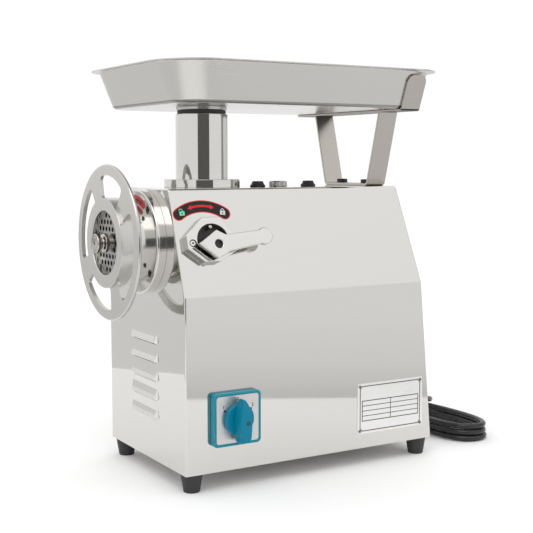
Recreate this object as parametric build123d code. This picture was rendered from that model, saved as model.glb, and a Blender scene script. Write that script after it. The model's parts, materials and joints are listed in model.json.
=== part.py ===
"""Electric meat grinder, No. 22 size, as an assembly of separate pieces.

Lengths are millimetres and angles degrees.  While modelling, x = 0 is the outer face of the head-end
panel, +X runs to the rear, y = 0 is the middle plane, the controls are on the -Y side and z = 0 is the
surface that the feet stand on.  On export everything moves along X so that the origin lies under the
middle of the machine without its cord.
"""
import os
from math import cos, degrees, hypot, pi, radians, sin, tan

from build123d import *

# ---- housing ----
BODY_LENGTH = 354.0
BODY_WIDTH = 214.0
BODY_HEIGHT = 324.0
TOP_WIDTH = 133.0
FOLD_HEIGHT = 203.5
REAR_LEAN = 30.5
SHEET = 1.5
BEND_RADIUS = 4.0
EDGE_RADIUS = 2.0
BASE_SHEET = 2.0

# ---- feet ----
FOOT_HEIGHT = 22.0
FOOT_TOP_RADIUS = 13.0
FOOT_FLOOR_RADIUS = 9.5
FOOT_INSET = 14.0
FOOT_STUD_RADIUS = 3.0

# ---- louvres and vents ----
LOUVRE_COUNT = 5
LOUVRE_LENGTH = 72.0
LOUVRE_HEIGHT = 14.5
LOUVRE_DEPTH = 4.5
LOUVRE_ROUNDING = 2.0
LOUVRE_PITCH = 22.5
LOUVRE_FIRST = 59.2
LOUVRE_OFFSET = 1.5
VENT_COUNT = 6
VENT_LENGTH = 90.0
VENT_HEIGHT = 4.0
VENT_PITCH = 12.0
VENT_FIRST = 150.0

# ---- grinding head ----
HEAD_HEIGHT = 260.5
BARREL_RADIUS = 45.0
BARREL_FRONT = 42.0
AUGER_BORE = 37.0
PLATE_BORE = 41.1
PLATE_SEAT = 27.0
BARREL_REAR = 122.0
BARREL_REAR_WALL = 8.0
FLANGE_RADIUS = 62.5
FLANGE_THICKNESS = 12.0
FLANGE_CHAMFER = 3.0
FLANGE_SCREW_CIRCLE = 53.3
FLANGE_SCREW_RADIUS = 4.0
FLANGE_SCREW_ANGLES = (46.5, -40.0, 133.5, -140.0)
PLATE_RADIUS = 41.0
PLATE_THICKNESS = 8.0
PLATE_HOLE_RADIUS = 2.8
PLATE_HOLE_PITCH = 9.2
PLATE_CENTRE_BORE = 8.05
KNIFE_RADIUS = 37.5
KNIFE_THICKNESS = 7.0
KNIFE_BLADE_WIDTH = 12.0
AUGER_SHAFT_RADIUS = 13.0
AUGER_LOBE_RADIUS = 22.0
AUGER_TURNS = 2.5
AUGER_TANG = 15.0
AUGER_RUN = 1.0
SPOOL_RADIUS = 11.0
SPOOL_WAIST = 6.5
SPOOL_REACH = 21.0
SPOOL_DISC = 4.0

# ---- ring nut and hand wheel ----
NUT_FRONT = 51.7
NUT_LENGTH = 18.0
NUT_RADIUS = 52.8
NUT_OPENING = 37.5
NUT_LIP = 7.6
THREAD_CLEARANCE = 0.08
WHEEL_RADIUS = 91.5
WHEEL_THICKNESS = 5.0
WHEEL_SETBACK = 3.5
WHEEL_SEAT = 3.0
RIM_WIDTH = 12.5
SPOKE_THICKNESS = 3.5
SPOKE_ANGLES = (41.5, 114.0, 210.0, 293.0)
SPOKE_HALF_ANGLE = 11.8
WINDOW_CORNER = 4.0

# ---- feed throat ----
THROAT_X = 77.8
THROAT_RADIUS = 31.75
THROAT_BORE = 28.8
THROAT_TOP = 434.0
THROAT_RING_RADIUS = 46.4
THROAT_RING_HEIGHT = 10.0

# ---- loading tray ----
TRAY_CENTRE_X = 165.0
TRAY_LENGTH = 332.0
TRAY_WIDTH = 230.0
TRAY_CORNER = 38.0
TRAY_BOTTOM = 441.7
TRAY_DEPTH = 46.3
TRAY_WALL_ANGLE = 21.0
TRAY_SHEET = 1.2
TRAY_FILLET = 7.0
TRAY_LIP = 9.5
NECK_LENGTH = 30.0
NECK_WALL = 2.8
NECK_CLEARANCE = 0.4
COLLAR_HEIGHT = 2.7
ORING_GROOVE = 1.4
ORING_PROUD = 1.1

# ---- tray bracket ----
BRACKET_X = 305.0
BRACKET_WIDTH = 28.0
BRACKET_SHEET = 3.0
BRACKET_FOOT = 94.0
BRACKET_SPREAD = 150.0
BRACKET_BEND = 5.0
EAR_HEIGHT = 41.0
EAR_GAP = 0.4
EAR_CORNER = 9.0
SADDLE_SHEET = 2.4
SADDLE_GAP = 0.3
BRACKET_SCREW_SPREAD = 27.0

# ---- top fittings ----
PLUG_CAP_PLACES = (156.7, 232.2)
PLUG_CAP_RADIUS = 9.5
OIL_CAP_X = 186.5
OIL_CAP_RADIUS = 11.6
FITTING_HEIGHT = 6.5

# ---- lock lever on the sloped side panel: u along the fold, v up the slope, from its front end ----
LOCK_U = 42.7
LOCK_V = 56.2
GUIDE_U = 40.0
GUIDE_V = 62.0
GUIDE_HALF_WIDTH = 31.0
GUIDE_UPPER = 28.5
GUIDE_LOWER = 23.5
GUIDE_FLAT = 8.0
GUIDE_TOP_END = 15.0
GUIDE_BOTTOM_END = 12.0
GUIDE_THICKNESS = 10.0
BORE_U = 42.0
BORE_V = 62.5
GUIDE_BORE = 20.0
GUIDE_SCREW_U = 16.0
GUIDE_SCREW_V = 60.5
STOP_PIN_V = 78.5
STOP_PIN_RADIUS = 2.2
HUB_RADIUS = 13.0
HUB_STEM_RADIUS = 9.0
HUB_STEM_GAP = 2.0
HUB_FLOOR = 2.0
HUB_HEIGHT = 12.0
LEVER_HEAD = 16.5
LEVER_NOSE = 24.5
LEVER_THICKNESS = 7.0
LEVER_REACH = 62.0
LEVER_RISE = 6.5
LEVER_NECK_WIDTH = 15.5
LEVER_TIP_RADIUS = 10.0
LEVER_TIP_EXTRA = 2.0
LEVER_BORE = 5.0
LABEL_U = 38.0
LABEL_V = 53.5
LABEL_RADIUS = 52.5
LABEL_WIDTH = 14.5
LABEL_SWEEP = 69.0
LABEL_THICKNESS = 0.3
DIRECTION_RADIUS = 50.8
DIRECTION_WIDTH = 10.0
DIRECTION_FIRST = 61.0
DIRECTION_SWEEP = 26.0

# ---- rotary switch ----
SWITCH_X = 62.6
SWITCH_Z = 83.5
SWITCH_SIZE = 62.0
SWITCH_CORNER = 5.0
SWITCH_DEPTH = 8.5
FACE_MARGIN = 3.2
FACE_DEPTH = 1.0
SWITCH_BODY_SIZE = 44.0
SWITCH_BODY_DEPTH = 48.0
KNOB_RADIUS = 18.5
KNOB_DISC = 5.0
KNOB_LENGTH = 50.0
KNOB_WIDTH = 15.0
KNOB_HEIGHT = 21.0
KNOB_SHAFT_RADIUS = 4.0
RUNNING_GAP = 0.3

# ---- nameplate ----
NAMEPLATE_X = 287.2
NAMEPLATE_Z = 71.7
NAMEPLATE_LENGTH = 101.5
NAMEPLATE_HEIGHT = 63.0
NAMEPLATE_SHEET = 0.8
NAMEPLATE_SCREW_INSET = 3.6
NAMEPLATE_SCREW_RADIUS = 2.2
NAMEPLATE_SCREW_HEAD = 1.0

# ---- gear train and motor ----
GEAR_MODULE = 2.0
OUTPUT_TEETH = 50
PINION_TEETH = 14
WHEEL_TEETH = 48
MOTOR_TEETH = 12
GEAR_FACE = 16.0
SHAFT_RADIUS = 12.0
LAYSHAFT_RADIUS = 8.0
MOTOR_SHAFT_RADIUS = 8.0
SOCKET_RADIUS = 18.0
BEARING_CLEARANCE = 0.05
CASE_WALL = 6.0
CASE_DEPTH = 50.0
CASE_HALF_WIDTH = 58.0
CASE_HEADROOM = 54.5
MOTOR_RADIUS = 62.0
MOTOR_LENGTH = 122.0
MOTOR_WALL = 7.0
ROTOR_RADIUS = 40.0
FAN_RADIUS = 50.0
FAN_BLADES = 6
FAN_WIDTH = 10.0
CAPACITOR_RADIUS = 20.0
CAPACITOR_LENGTH = 80.0
CAPACITOR_Y = 78.0

# ---- supply cord ----
CORD_DIAMETER = 8.0
GLAND_Y = 10.0
GLAND_Z = 38.0
GLAND_RADIUS = 11.0
GLAND_NUT = 8.0
GLAND_LENGTH = 27.0
COIL_X = 448.0
COIL_END_RADIUS = 35.0
COIL_HALF_SIDE = 58.0
COIL_SCATTER = 1.5
COIL_HEIGHT = 28.0
COIL_TURNS = 3.1
PLUG_LENGTH = 42.0
PLUG_WIDTH = 26.0
PLUG_HEIGHT = 20.0
PRONG_LENGTH = 18.0
LEAD_POINTS = [(430, 11, 41), (454, 19, 36), (471, 36, 31), (480, 59, 26)]
TAIL_POINTS = [(448, 93, 4.1), (420, 95, 4.1), (396, 105, 5), (371, 118, 8), (347, 125, 10.1)]

# ---- worked-out places ----
BASE_Z = FOOT_HEIGHT
TOP_Z = BASE_Z + BODY_HEIGHT
HALF_WIDTH = BODY_WIDTH / 2
FOLD_Z = BASE_Z + FOLD_HEIGHT
HEAD_Z = BASE_Z + HEAD_HEIGHT
CASE_FRONT = BARREL_REAR
TRAY_LEAN = tan(radians(TRAY_WALL_ANGLE))
TRAY_END_X = TRAY_CENTRE_X + TRAY_LENGTH / 2 + TRAY_DEPTH * TRAY_LEAN + TRAY_LIP
MID_X = (TRAY_END_X - BARREL_FRONT - SPOOL_REACH) / 2
SIDE_SLOPE = (HALF_WIDTH - TOP_WIDTH / 2) / (TOP_Z - FOLD_Z)
LOW = (Align.CENTER, Align.CENTER, Align.MIN)
PARTS = {}


def keep(name, solid):
    """Keep one finished piece under its node name."""
    PARTS[name] = solid


# ---- simple shapes ----
def block(x0, x1, y0, y1, z0, z1):
    """Box between two corners."""
    middle = Pos((x0 + x1) / 2, (y0 + y1) / 2, (z0 + z1) / 2)
    return middle * Box(x1 - x0, y1 - y0, z1 - z0)


def rod_x(radius, x0, x1, y=0.0, z=0.0):
    """Round bar along X."""
    return Pos((x0 + x1) / 2, y, z) * Rot(0, 90, 0) * Cylinder(radius, x1 - x0)


def rod_y(radius, y0, y1, x=0.0, z=0.0):
    """Round bar along Y."""
    return Pos(x, (y0 + y1) / 2, z) * Rot(90, 0, 0) * Cylinder(radius, y1 - y0)


def rod_z(radius, z0, z1, x=0.0, y=0.0):
    """Round bar along Z."""
    return Pos(x, y, (z0 + z1) / 2) * Cylinder(radius, z1 - z0)


def turned_x(points, z=0.0):
    """Solid of revolution about a line along X at height z, from (x, radius) points."""
    outline = Polyline(*[(x, 0, radius) for x, radius in points], close=True)
    return Pos(0, 0, z) * revolve(make_face(outline), Axis.X)


def half_space(origin, outward, size=2000.0):
    """Large block on the outward side of a plane."""
    plane = Plane(origin=origin, z_dir=outward)
    return plane * Box(size, size, size, align=LOW)


# ---- housing ----
def side_normal(side):
    """Outward normal of the sloped upper panel on one side (-1 control side, +1 far side)."""
    up = Vector(0, -side * SIDE_SLOPE, 1)
    return (up.cross(Vector(1, 0, 0)) * side).normalized()


def rear_normal():
    """Outward normal of the leaning rear panel."""
    return Vector(BODY_HEIGHT, 0, REAR_LEAN).normalized()


def housing_block(inset=0.0, extra_below=0.0):
    """Housing outline as a solid, with its faces moved inwards by inset."""
    body = block(inset, BODY_LENGTH, -HALF_WIDTH + inset, HALF_WIDTH - inset,
                 BASE_Z - extra_below, TOP_Z - inset)
    for side in (-1, 1):
        normal = side_normal(side)
        body -= half_space(Vector(0, side * HALF_WIDTH, FOLD_Z) - normal * inset, normal)
    normal = rear_normal()
    body -= half_space(Vector(BODY_LENGTH, 0, BASE_Z) - normal * inset, normal)
    return body


def bent_block():
    """Housing outline with its bends and outer edges rounded."""
    body = housing_block()
    bends = [edge for edge in body.edges()
             if abs(edge.tangent_at(0.5).X) > 0.9 and edge.center().Z > BASE_Z + 1]
    body = fillet(bends, BEND_RADIUS)
    corners = body.edges().filter_by(lambda edge: abs(edge.tangent_at(0.5).X) < 0.9
                                     and edge.center().Z > BASE_Z + 1 and edge.length > 30)
    return fillet(corners, EDGE_RADIUS)


def panel_plane(side=-1, lift=0.0):
    """Plane on the control side's sloped panel: local x along the fold, y up the slope, z outward."""
    normal = side_normal(side)
    origin = Vector(0, side * HALF_WIDTH, FOLD_Z) + normal * lift
    return Plane(origin=origin, x_dir=Vector(1, 0, 0), z_dir=normal)


def rear_plane(y, z):
    """Plane on the rear panel at one point, with its z outward."""
    x = BODY_LENGTH - REAR_LEAN * (z - BASE_Z) / BODY_HEIGHT
    return Plane(origin=(x, y, z), x_dir=(0, 1, 0), z_dir=rear_normal())


def on_lock(lift=0.0, u=LOCK_U, v=LOCK_V):
    """Place on the sloped panel, lifted outward, at the lock's pivot unless u and v say otherwise."""
    return panel_plane().location * Pos(u, v, lift)


def louvre(z):
    """One pressed louvre with its opening underneath, as (bulge, opening)."""
    half = LOUVRE_HEIGHT / 2
    outer = Polyline((0, 0, z + half), (-LOUVRE_DEPTH, 0, z - half), (0, 0, z - half), close=True)
    inner = Polyline((SHEET, 0, z + half - SHEET), (SHEET - LOUVRE_DEPTH, 0, z - half - SHEET),
                     (SHEET, 0, z - half - SHEET), close=True)
    length = LOUVRE_LENGTH / 2
    bulge = extrude(make_face(outer), amount=length, dir=(0, 1, 0), both=True)
    for side in (-1, 1):
        bulge -= half_space(Vector(0, side * length, z), Vector(-1, side, 0).normalized())
    raised = [edge for edge in bulge.edges() if edge.center().X < -0.1 and edge.center().Z > z - half + 0.1
              or edge.center().X < 0.1 - LOUVRE_DEPTH]
    bulge = fillet(raised, LOUVRE_ROUNDING)
    opening = extrude(make_face(inner), amount=length - LOUVRE_DEPTH, dir=(0, 1, 0), both=True)
    return Pos(0, LOUVRE_OFFSET, 0) * bulge, Pos(0, LOUVRE_OFFSET, 0) * opening


def make_housing():
    outside = bent_block()
    inside = housing_block(SHEET, extra_below=1.0)
    shell = outside - inside
    head_slab = block(-1, SHEET, -BODY_WIDTH, BODY_WIDTH, 0, 2 * TOP_Z)
    normal = rear_normal()
    rear_slab = half_space(Vector(BODY_LENGTH, 0, BASE_Z) - normal * SHEET, normal)

    wrap = shell - head_slab - rear_slab
    wrap -= rod_z(THROAT_RADIUS + 0.5, TOP_Z - 10, TOP_Z + 10, THROAT_X)
    wrap -= on_lock() * Cylinder(HUB_STEM_RADIUS + 0.5, 20)
    wrap -= rod_y(KNOB_SHAFT_RADIUS + 3, -HALF_WIDTH - 5, -HALF_WIDTH + 5, SWITCH_X, SWITCH_Z)
    keep("housing_wrap", wrap)

    head = outside & head_slab
    head -= rod_x(BARREL_RADIUS + 0.5, -5, 5, z=HEAD_Z)
    for row in range(LOUVRE_COUNT):
        bulge, opening = louvre(BASE_Z + LOUVRE_FIRST + row * LOUVRE_PITCH)
        head = head + bulge - opening
    keep("head_end_panel", head)

    rear = (outside & rear_slab) - inside
    for row in range(VENT_COUNT):
        middle = rear_plane(0, VENT_FIRST + row * VENT_PITCH).location
        rear -= middle * Box(VENT_LENGTH, VENT_HEIGHT, 4 * SHEET)
    rear -= rear_plane(GLAND_Y, GLAND_Z).location * Cylinder(CORD_DIAMETER, 4 * SHEET)
    keep("rear_panel", rear)

    base = housing_block(SHEET) & block(0, BODY_LENGTH, -HALF_WIDTH, HALF_WIDTH, BASE_Z, BASE_Z + BASE_SHEET)
    for x, y in foot_places():
        base -= rod_z(FOOT_STUD_RADIUS, BASE_Z - 1, BASE_Z + BASE_SHEET + 1, x, y)
    keep("base_plate", base)


def foot_places():
    """Centres of the four feet."""
    inset = FOOT_INSET
    return [(x, y) for x in (inset, BODY_LENGTH - inset) for y in (-HALF_WIDTH + inset, HALF_WIDTH - inset)]


def make_feet():
    for number, (x, y) in enumerate(foot_places(), start=1):
        cone = Pos(x, y, FOOT_HEIGHT / 2) * Cone(FOOT_FLOOR_RADIUS, FOOT_TOP_RADIUS, FOOT_HEIGHT)
        stud = rod_z(FOOT_STUD_RADIUS, FOOT_HEIGHT, FOOT_HEIGHT + BASE_SHEET, x, y)
        keep(f"foot_{number}", cone + stud)


# ---- grinding head ----
def make_barrel():
    front = -BARREL_FRONT
    body = rod_x(BARREL_RADIUS, front, BARREL_REAR, z=HEAD_Z)
    body -= rod_x(PLATE_BORE, front - 1, -PLATE_SEAT, z=HEAD_Z)
    body -= rod_x(AUGER_BORE + AUGER_RUN, -PLATE_SEAT - 1, BARREL_REAR - BARREL_REAR_WALL, z=HEAD_Z)
    body -= rod_x(SOCKET_RADIUS + 1, 0, BARREL_REAR + 1, z=HEAD_Z)
    body -= rod_z(THROAT_BORE, HEAD_Z, TOP_Z, THROAT_X)
    keep("barrel", body)

    flange = turned_x([(-FLANGE_THICKNESS, BARREL_RADIUS), (0, BARREL_RADIUS), (0, FLANGE_RADIUS),
                       (FLANGE_CHAMFER - FLANGE_THICKNESS, FLANGE_RADIUS),
                       (-FLANGE_THICKNESS, FLANGE_RADIUS - FLANGE_CHAMFER)], HEAD_Z)
    for number, angle in enumerate(FLANGE_SCREW_ANGLES, start=1):
        y = -FLANGE_SCREW_CIRCLE * cos(radians(angle))
        z = HEAD_Z + FLANGE_SCREW_CIRCLE * sin(radians(angle))
        pocket = rod_x(FLANGE_SCREW_RADIUS, -FLANGE_THICKNESS - 1, -4, y, z)
        flange -= pocket
        screw = rod_x(FLANGE_SCREW_RADIUS, -FLANGE_THICKNESS + 1, -4, y, z)
        socket = Pos(-FLANGE_THICKNESS + 1, y, z) * Rot(0, 90, 0) * extrude(RegularPolygon(2, 6), 2.5)
        keep(f"flange_screw_{number}", screw - socket)
    keep("barrel_flange", flange)

    throat = rod_z(THROAT_RADIUS, HEAD_Z, THROAT_TOP, THROAT_X)
    throat -= rod_z(THROAT_BORE, 0, THROAT_TOP + 1, THROAT_X)
    throat -= rod_x(BARREL_RADIUS, 0, BARREL_REAR, z=HEAD_Z)
    throat -= block(0, 2 * THROAT_X, -BARREL_RADIUS, BARREL_RADIUS, 0, HEAD_Z + 1)
    keep("feed_throat", throat)
    ring = rod_z(THROAT_RING_RADIUS, TOP_Z, TOP_Z + THROAT_RING_HEIGHT, THROAT_X)
    ring -= rod_z(THROAT_RADIUS, 0, 2 * TOP_Z, THROAT_X)
    keep("throat_base_ring", ring)


def hex_places(pitch, inner, outer):
    """Centres of a hexagonal lattice between two radii."""
    places = []
    rows = int(outer / pitch) + 2
    for row in range(-rows, rows + 1):
        for column in range(-rows, rows + 1):
            y = (column + (row % 2) / 2) * pitch
            z = row * pitch * sin(radians(60))
            if inner < (y * y + z * z) ** 0.5 < outer:
                places.append((y, z))
    return places


def make_plate():
    back = -NUT_FRONT + NUT_LIP
    plate = rod_x(PLATE_RADIUS, back, back + PLATE_THICKNESS, z=HEAD_Z)
    plate -= rod_x(PLATE_CENTRE_BORE, back - 1, 0, z=HEAD_Z)
    holes = [rod_x(PLATE_HOLE_RADIUS, back - 1, back + PLATE_THICKNESS + 1, y, HEAD_Z + z)
             for y, z in hex_places(PLATE_HOLE_PITCH, PLATE_CENTRE_BORE + 5, PLATE_RADIUS - 5)]
    keep("cutting_plate", plate - holes)


def make_auger():
    plate_back = -NUT_FRONT + NUT_LIP + PLATE_THICKNESS
    knife_front = plate_back + RUNNING_GAP
    auger_front = knife_front + KNIFE_THICKNESS
    auger_back = BARREL_REAR - BARREL_REAR_WALL - 2
    front = -BARREL_FRONT - SPOOL_REACH
    pin_radius = PLATE_CENTRE_BORE - BEARING_CLEARANCE
    neck_back = front + SPOOL_DISC + 7

    lobe = Circle(AUGER_SHAFT_RADIUS) + Pos(AUGER_BORE - AUGER_LOBE_RADIUS, 0) * Circle(AUGER_LOBE_RADIUS)
    worm = Solid.extrude_linear_with_rotation(lobe.face(), (0, 0, 0), (0, 0, auger_back - auger_front),
                                              360 * AUGER_TURNS)
    worm = Pos(auger_front, 0, HEAD_Z) * Rot(0, 90, 0) * worm
    tang_end = CASE_FRONT + CASE_WALL
    half = AUGER_TANG / 2
    worm += block(auger_back - 1, tang_end, -half, half, HEAD_Z - half, HEAD_Z + half)
    worm += rod_x(pin_radius, neck_back, auger_front + 1, z=HEAD_Z)
    worm += turned_x([(front, 0), (front, SPOOL_RADIUS - 1), (front + 1, SPOOL_RADIUS),
                      (front + SPOOL_DISC, SPOOL_RADIUS), (front + SPOOL_DISC + 2, SPOOL_WAIST),
                      (neck_back - 2, SPOOL_WAIST), (neck_back, SPOOL_RADIUS),
                      (neck_back + SPOOL_DISC, SPOOL_RADIUS), (neck_back + SPOOL_DISC, 0)], HEAD_Z)
    keep("auger", worm)

    knife = rod_x(15, knife_front, auger_front, z=HEAD_Z)
    for quarter in range(4):
        half = KNIFE_BLADE_WIDTH / 2
        blade = block(knife_front, auger_front, 0, KNIFE_RADIUS, -half, half)
        knife += Pos(0, 0, HEAD_Z) * Rot(90 * quarter, 0, 0) * blade
    knife &= rod_x(KNIFE_RADIUS, knife_front, auger_front, z=HEAD_Z)
    keep("knife", knife - rod_x(pin_radius, -100, 100, z=HEAD_Z))


def make_hand_wheel():
    front = -NUT_FRONT
    bore = BARREL_RADIUS + THREAD_CLEARANCE
    face = front + WHEEL_SETBACK
    web_back = face + SPOKE_THICKNESS
    seat = NUT_RADIUS - WHEEL_SEAT
    nut = turned_x([(front, NUT_OPENING), (front, NUT_RADIUS), (face, NUT_RADIUS), (face, seat),
                    (web_back, seat), (web_back, NUT_RADIUS), (front + NUT_LENGTH - 1, NUT_RADIUS),
                    (front + NUT_LENGTH, NUT_RADIUS - 1), (front + NUT_LENGTH, bore),
                    (front + NUT_LIP, bore), (front + NUT_LIP, NUT_OPENING)], HEAD_Z)
    keep("ring_nut", nut)

    rim_inner = WHEEL_RADIUS - RIM_WIDTH
    half = WHEEL_THICKNESS / 2
    rim = Polyline((face + 2 * half, 0, WHEEL_RADIUS - half), (face + 2 * half, 0, rim_inner),
                   (face, 0, rim_inner), (face, 0, WHEEL_RADIUS - half))
    edge = ThreePointArc((face, 0, WHEEL_RADIUS - half), (face + half, 0, WHEEL_RADIUS),
                         (face + 2 * half, 0, WHEEL_RADIUS - half))
    wheel = Pos(0, 0, HEAD_Z) * revolve(make_face(rim + edge), Axis.X)
    wheel += turned_x([(face, seat), (face, rim_inner + 1), (web_back, rim_inner + 1), (web_back, seat)],
                      HEAD_Z)

    windows = Circle(rim_inner) - Circle(NUT_RADIUS)
    across = 2 * WHEEL_RADIUS * cos(radians(SPOKE_HALF_ANGLE))
    aside = 2 * WHEEL_RADIUS * sin(radians(SPOKE_HALF_ANGLE))
    for angle in SPOKE_ANGLES:
        spoke = make_face(Polyline((0, 0), (across, -aside), (across, aside), close=True))
        windows -= Rot(0, 0, angle) * spoke
    windows = fillet(windows.vertices(), WINDOW_CORNER)
    facing = Plane(origin=(front, 0, HEAD_Z), x_dir=(0, -1, 0), z_dir=(-1, 0, 0))
    keep("hand_wheel", wheel - facing.location * extrude(windows, amount=NUT_LENGTH, both=True))


# ---- tray and its bracket ----
def tray_outline(growth):
    """Plan of the tray's bottom, grown outwards all round."""
    return RectangleRounded(TRAY_LENGTH + 2 * growth, TRAY_WIDTH + 2 * growth, TRAY_CORNER + growth)


def tray_block(inset=0.0):
    """Tray outline as a tapered solid, its walls moved inwards and its bottom up by inset."""
    rise = TRAY_DEPTH - inset
    top = tray_outline(rise * TRAY_LEAN - inset)
    body = loft([tray_outline(-inset).face(), (Pos(0, 0, rise) * top).face()])
    body = fillet(body.edges().group_by(Axis.Z)[0], TRAY_FILLET - inset)
    return Pos(TRAY_CENTRE_X, 0, TRAY_BOTTOM + inset) * body


def make_tray():
    top = TRAY_BOTTOM + TRAY_DEPTH
    rim = tray_outline(TRAY_DEPTH * TRAY_LEAN + TRAY_LIP)
    lip = Pos(TRAY_CENTRE_X, 0, top - TRAY_SHEET) * extrude(rim, TRAY_SHEET)
    tray = tray_block() + lip - tray_block(TRAY_SHEET)
    neck_radius = THROAT_BORE - NECK_CLEARANCE
    tray += rod_z(neck_radius, TRAY_BOTTOM - NECK_LENGTH, TRAY_BOTTOM + TRAY_SHEET, THROAT_X)
    tray += rod_z(THROAT_RADIUS - 1, TRAY_BOTTOM - COLLAR_HEIGHT, TRAY_BOTTOM + TRAY_SHEET, THROAT_X)
    tray -= rod_z(neck_radius - NECK_WALL, 0, 2 * top, THROAT_X)

    ring_low = THROAT_TOP + RUNNING_GAP
    ring_high = TRAY_BOTTOM - COLLAR_HEIGHT
    ring_inner = neck_radius - ORING_GROOVE
    ring = rod_z(neck_radius + ORING_PROUD, ring_low, ring_high, THROAT_X)
    ring = fillet(ring.edges(), ORING_PROUD - 0.2)
    ring -= rod_z(ring_inner, 0, 2 * top, THROAT_X)
    keep("tray_o_ring", ring)
    groove = rod_z(THROAT_RADIUS, ring_low, ring_high, THROAT_X)
    keep("tray", tray - (groove - rod_z(ring_inner, 0, 2 * top, THROAT_X)))


def strap(points, thickness, radius):
    """Bent strap across the machine: a centre line in the YZ plane, thickened and given its width."""
    bends = [radius] * (len(points) - 2)
    line = FilletPolyline(*[(0, y, z) for y, z in points], radius=bends)
    face = make_face(offset(line, thickness / 2, side=Side.BOTH))
    return Pos(BRACKET_X, 0, 0) * extrude(face, amount=BRACKET_WIDTH / 2, dir=(1, 0, 0), both=True)


def make_bracket():
    half = BRACKET_SHEET / 2
    foot = BRACKET_FOOT / 2
    spread = BRACKET_SPREAD / 2
    saddle_top = TRAY_BOTTOM - SADDLE_GAP
    saddle_low = saddle_top - SADDLE_SHEET
    legs = strap([(-spread, saddle_low + 10), (-foot, TOP_Z + half), (foot, TOP_Z + half),
                  (spread, saddle_low + 10)], BRACKET_SHEET, BRACKET_BEND)
    legs &= block(0, BODY_LENGTH, -BODY_WIDTH, BODY_WIDTH, TOP_Z, saddle_low)
    keep("tray_bracket", legs)

    middle = saddle_top - SADDLE_SHEET / 2
    wall_foot = TRAY_WIDTH / 2 - (TRAY_BOTTOM - middle) * TRAY_LEAN
    corner = wall_foot + (EAR_GAP + SADDLE_SHEET / 2) / cos(radians(TRAY_WALL_ANGLE))
    rise = EAR_HEIGHT + SADDLE_SHEET
    tip = corner + rise * TRAY_LEAN
    ears = strap([(-tip, middle + rise), (-corner, middle), (corner, middle), (tip, middle + rise)],
                 SADDLE_SHEET, SADDLE_SHEET)
    room = block(BRACKET_X - BRACKET_WIDTH / 2, BRACKET_X + BRACKET_WIDTH / 2, -BODY_WIDTH, BODY_WIDTH,
                 saddle_low, middle + EAR_HEIGHT)
    tips = room.edges().filter_by(Axis.Y).group_by(Axis.Z)[-1]
    keep("tray_saddle", ears & fillet(tips, EAR_CORNER))

    for number, y in enumerate((-BRACKET_SCREW_SPREAD, BRACKET_SCREW_SPREAD), start=1):
        base = TOP_Z + BRACKET_SHEET
        head = rod_z(7, base, base + 5, BRACKET_X, y)
        socket = Pos(BRACKET_X, y, base + 2.5) * extrude(RegularPolygon(3, 6), 3)
        keep(f"bracket_screw_{number}", head - socket)


def make_top_fittings():
    for number, x in enumerate(PLUG_CAP_PLACES, start=1):
        base = Pos(x, 0, TOP_Z + 1) * Cylinder(PLUG_CAP_RADIUS, 2)
        crown = Pos(x, 0, TOP_Z + 1 + FITTING_HEIGHT / 2)
        crown = crown * Cone(PLUG_CAP_RADIUS - 0.5, PLUG_CAP_RADIUS - 3, FITTING_HEIGHT - 2)
        keep(f"plug_cap_{number}", base + crown)
    cap = rod_z(OIL_CAP_RADIUS, TOP_Z, TOP_Z + FITTING_HEIGHT, OIL_CAP_X)
    cap = chamfer(cap.edges().group_by(Axis.Z)[-1], 0.8)
    keep("oil_filler_cap", cap)


# ---- lock lever ----
def on_guide(u=GUIDE_U, v=GUIDE_V, lift=0.0):
    """Place on the sloped panel, at the middle of the guide plate unless u and v say otherwise."""
    return on_lock(lift, u, v)


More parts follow.
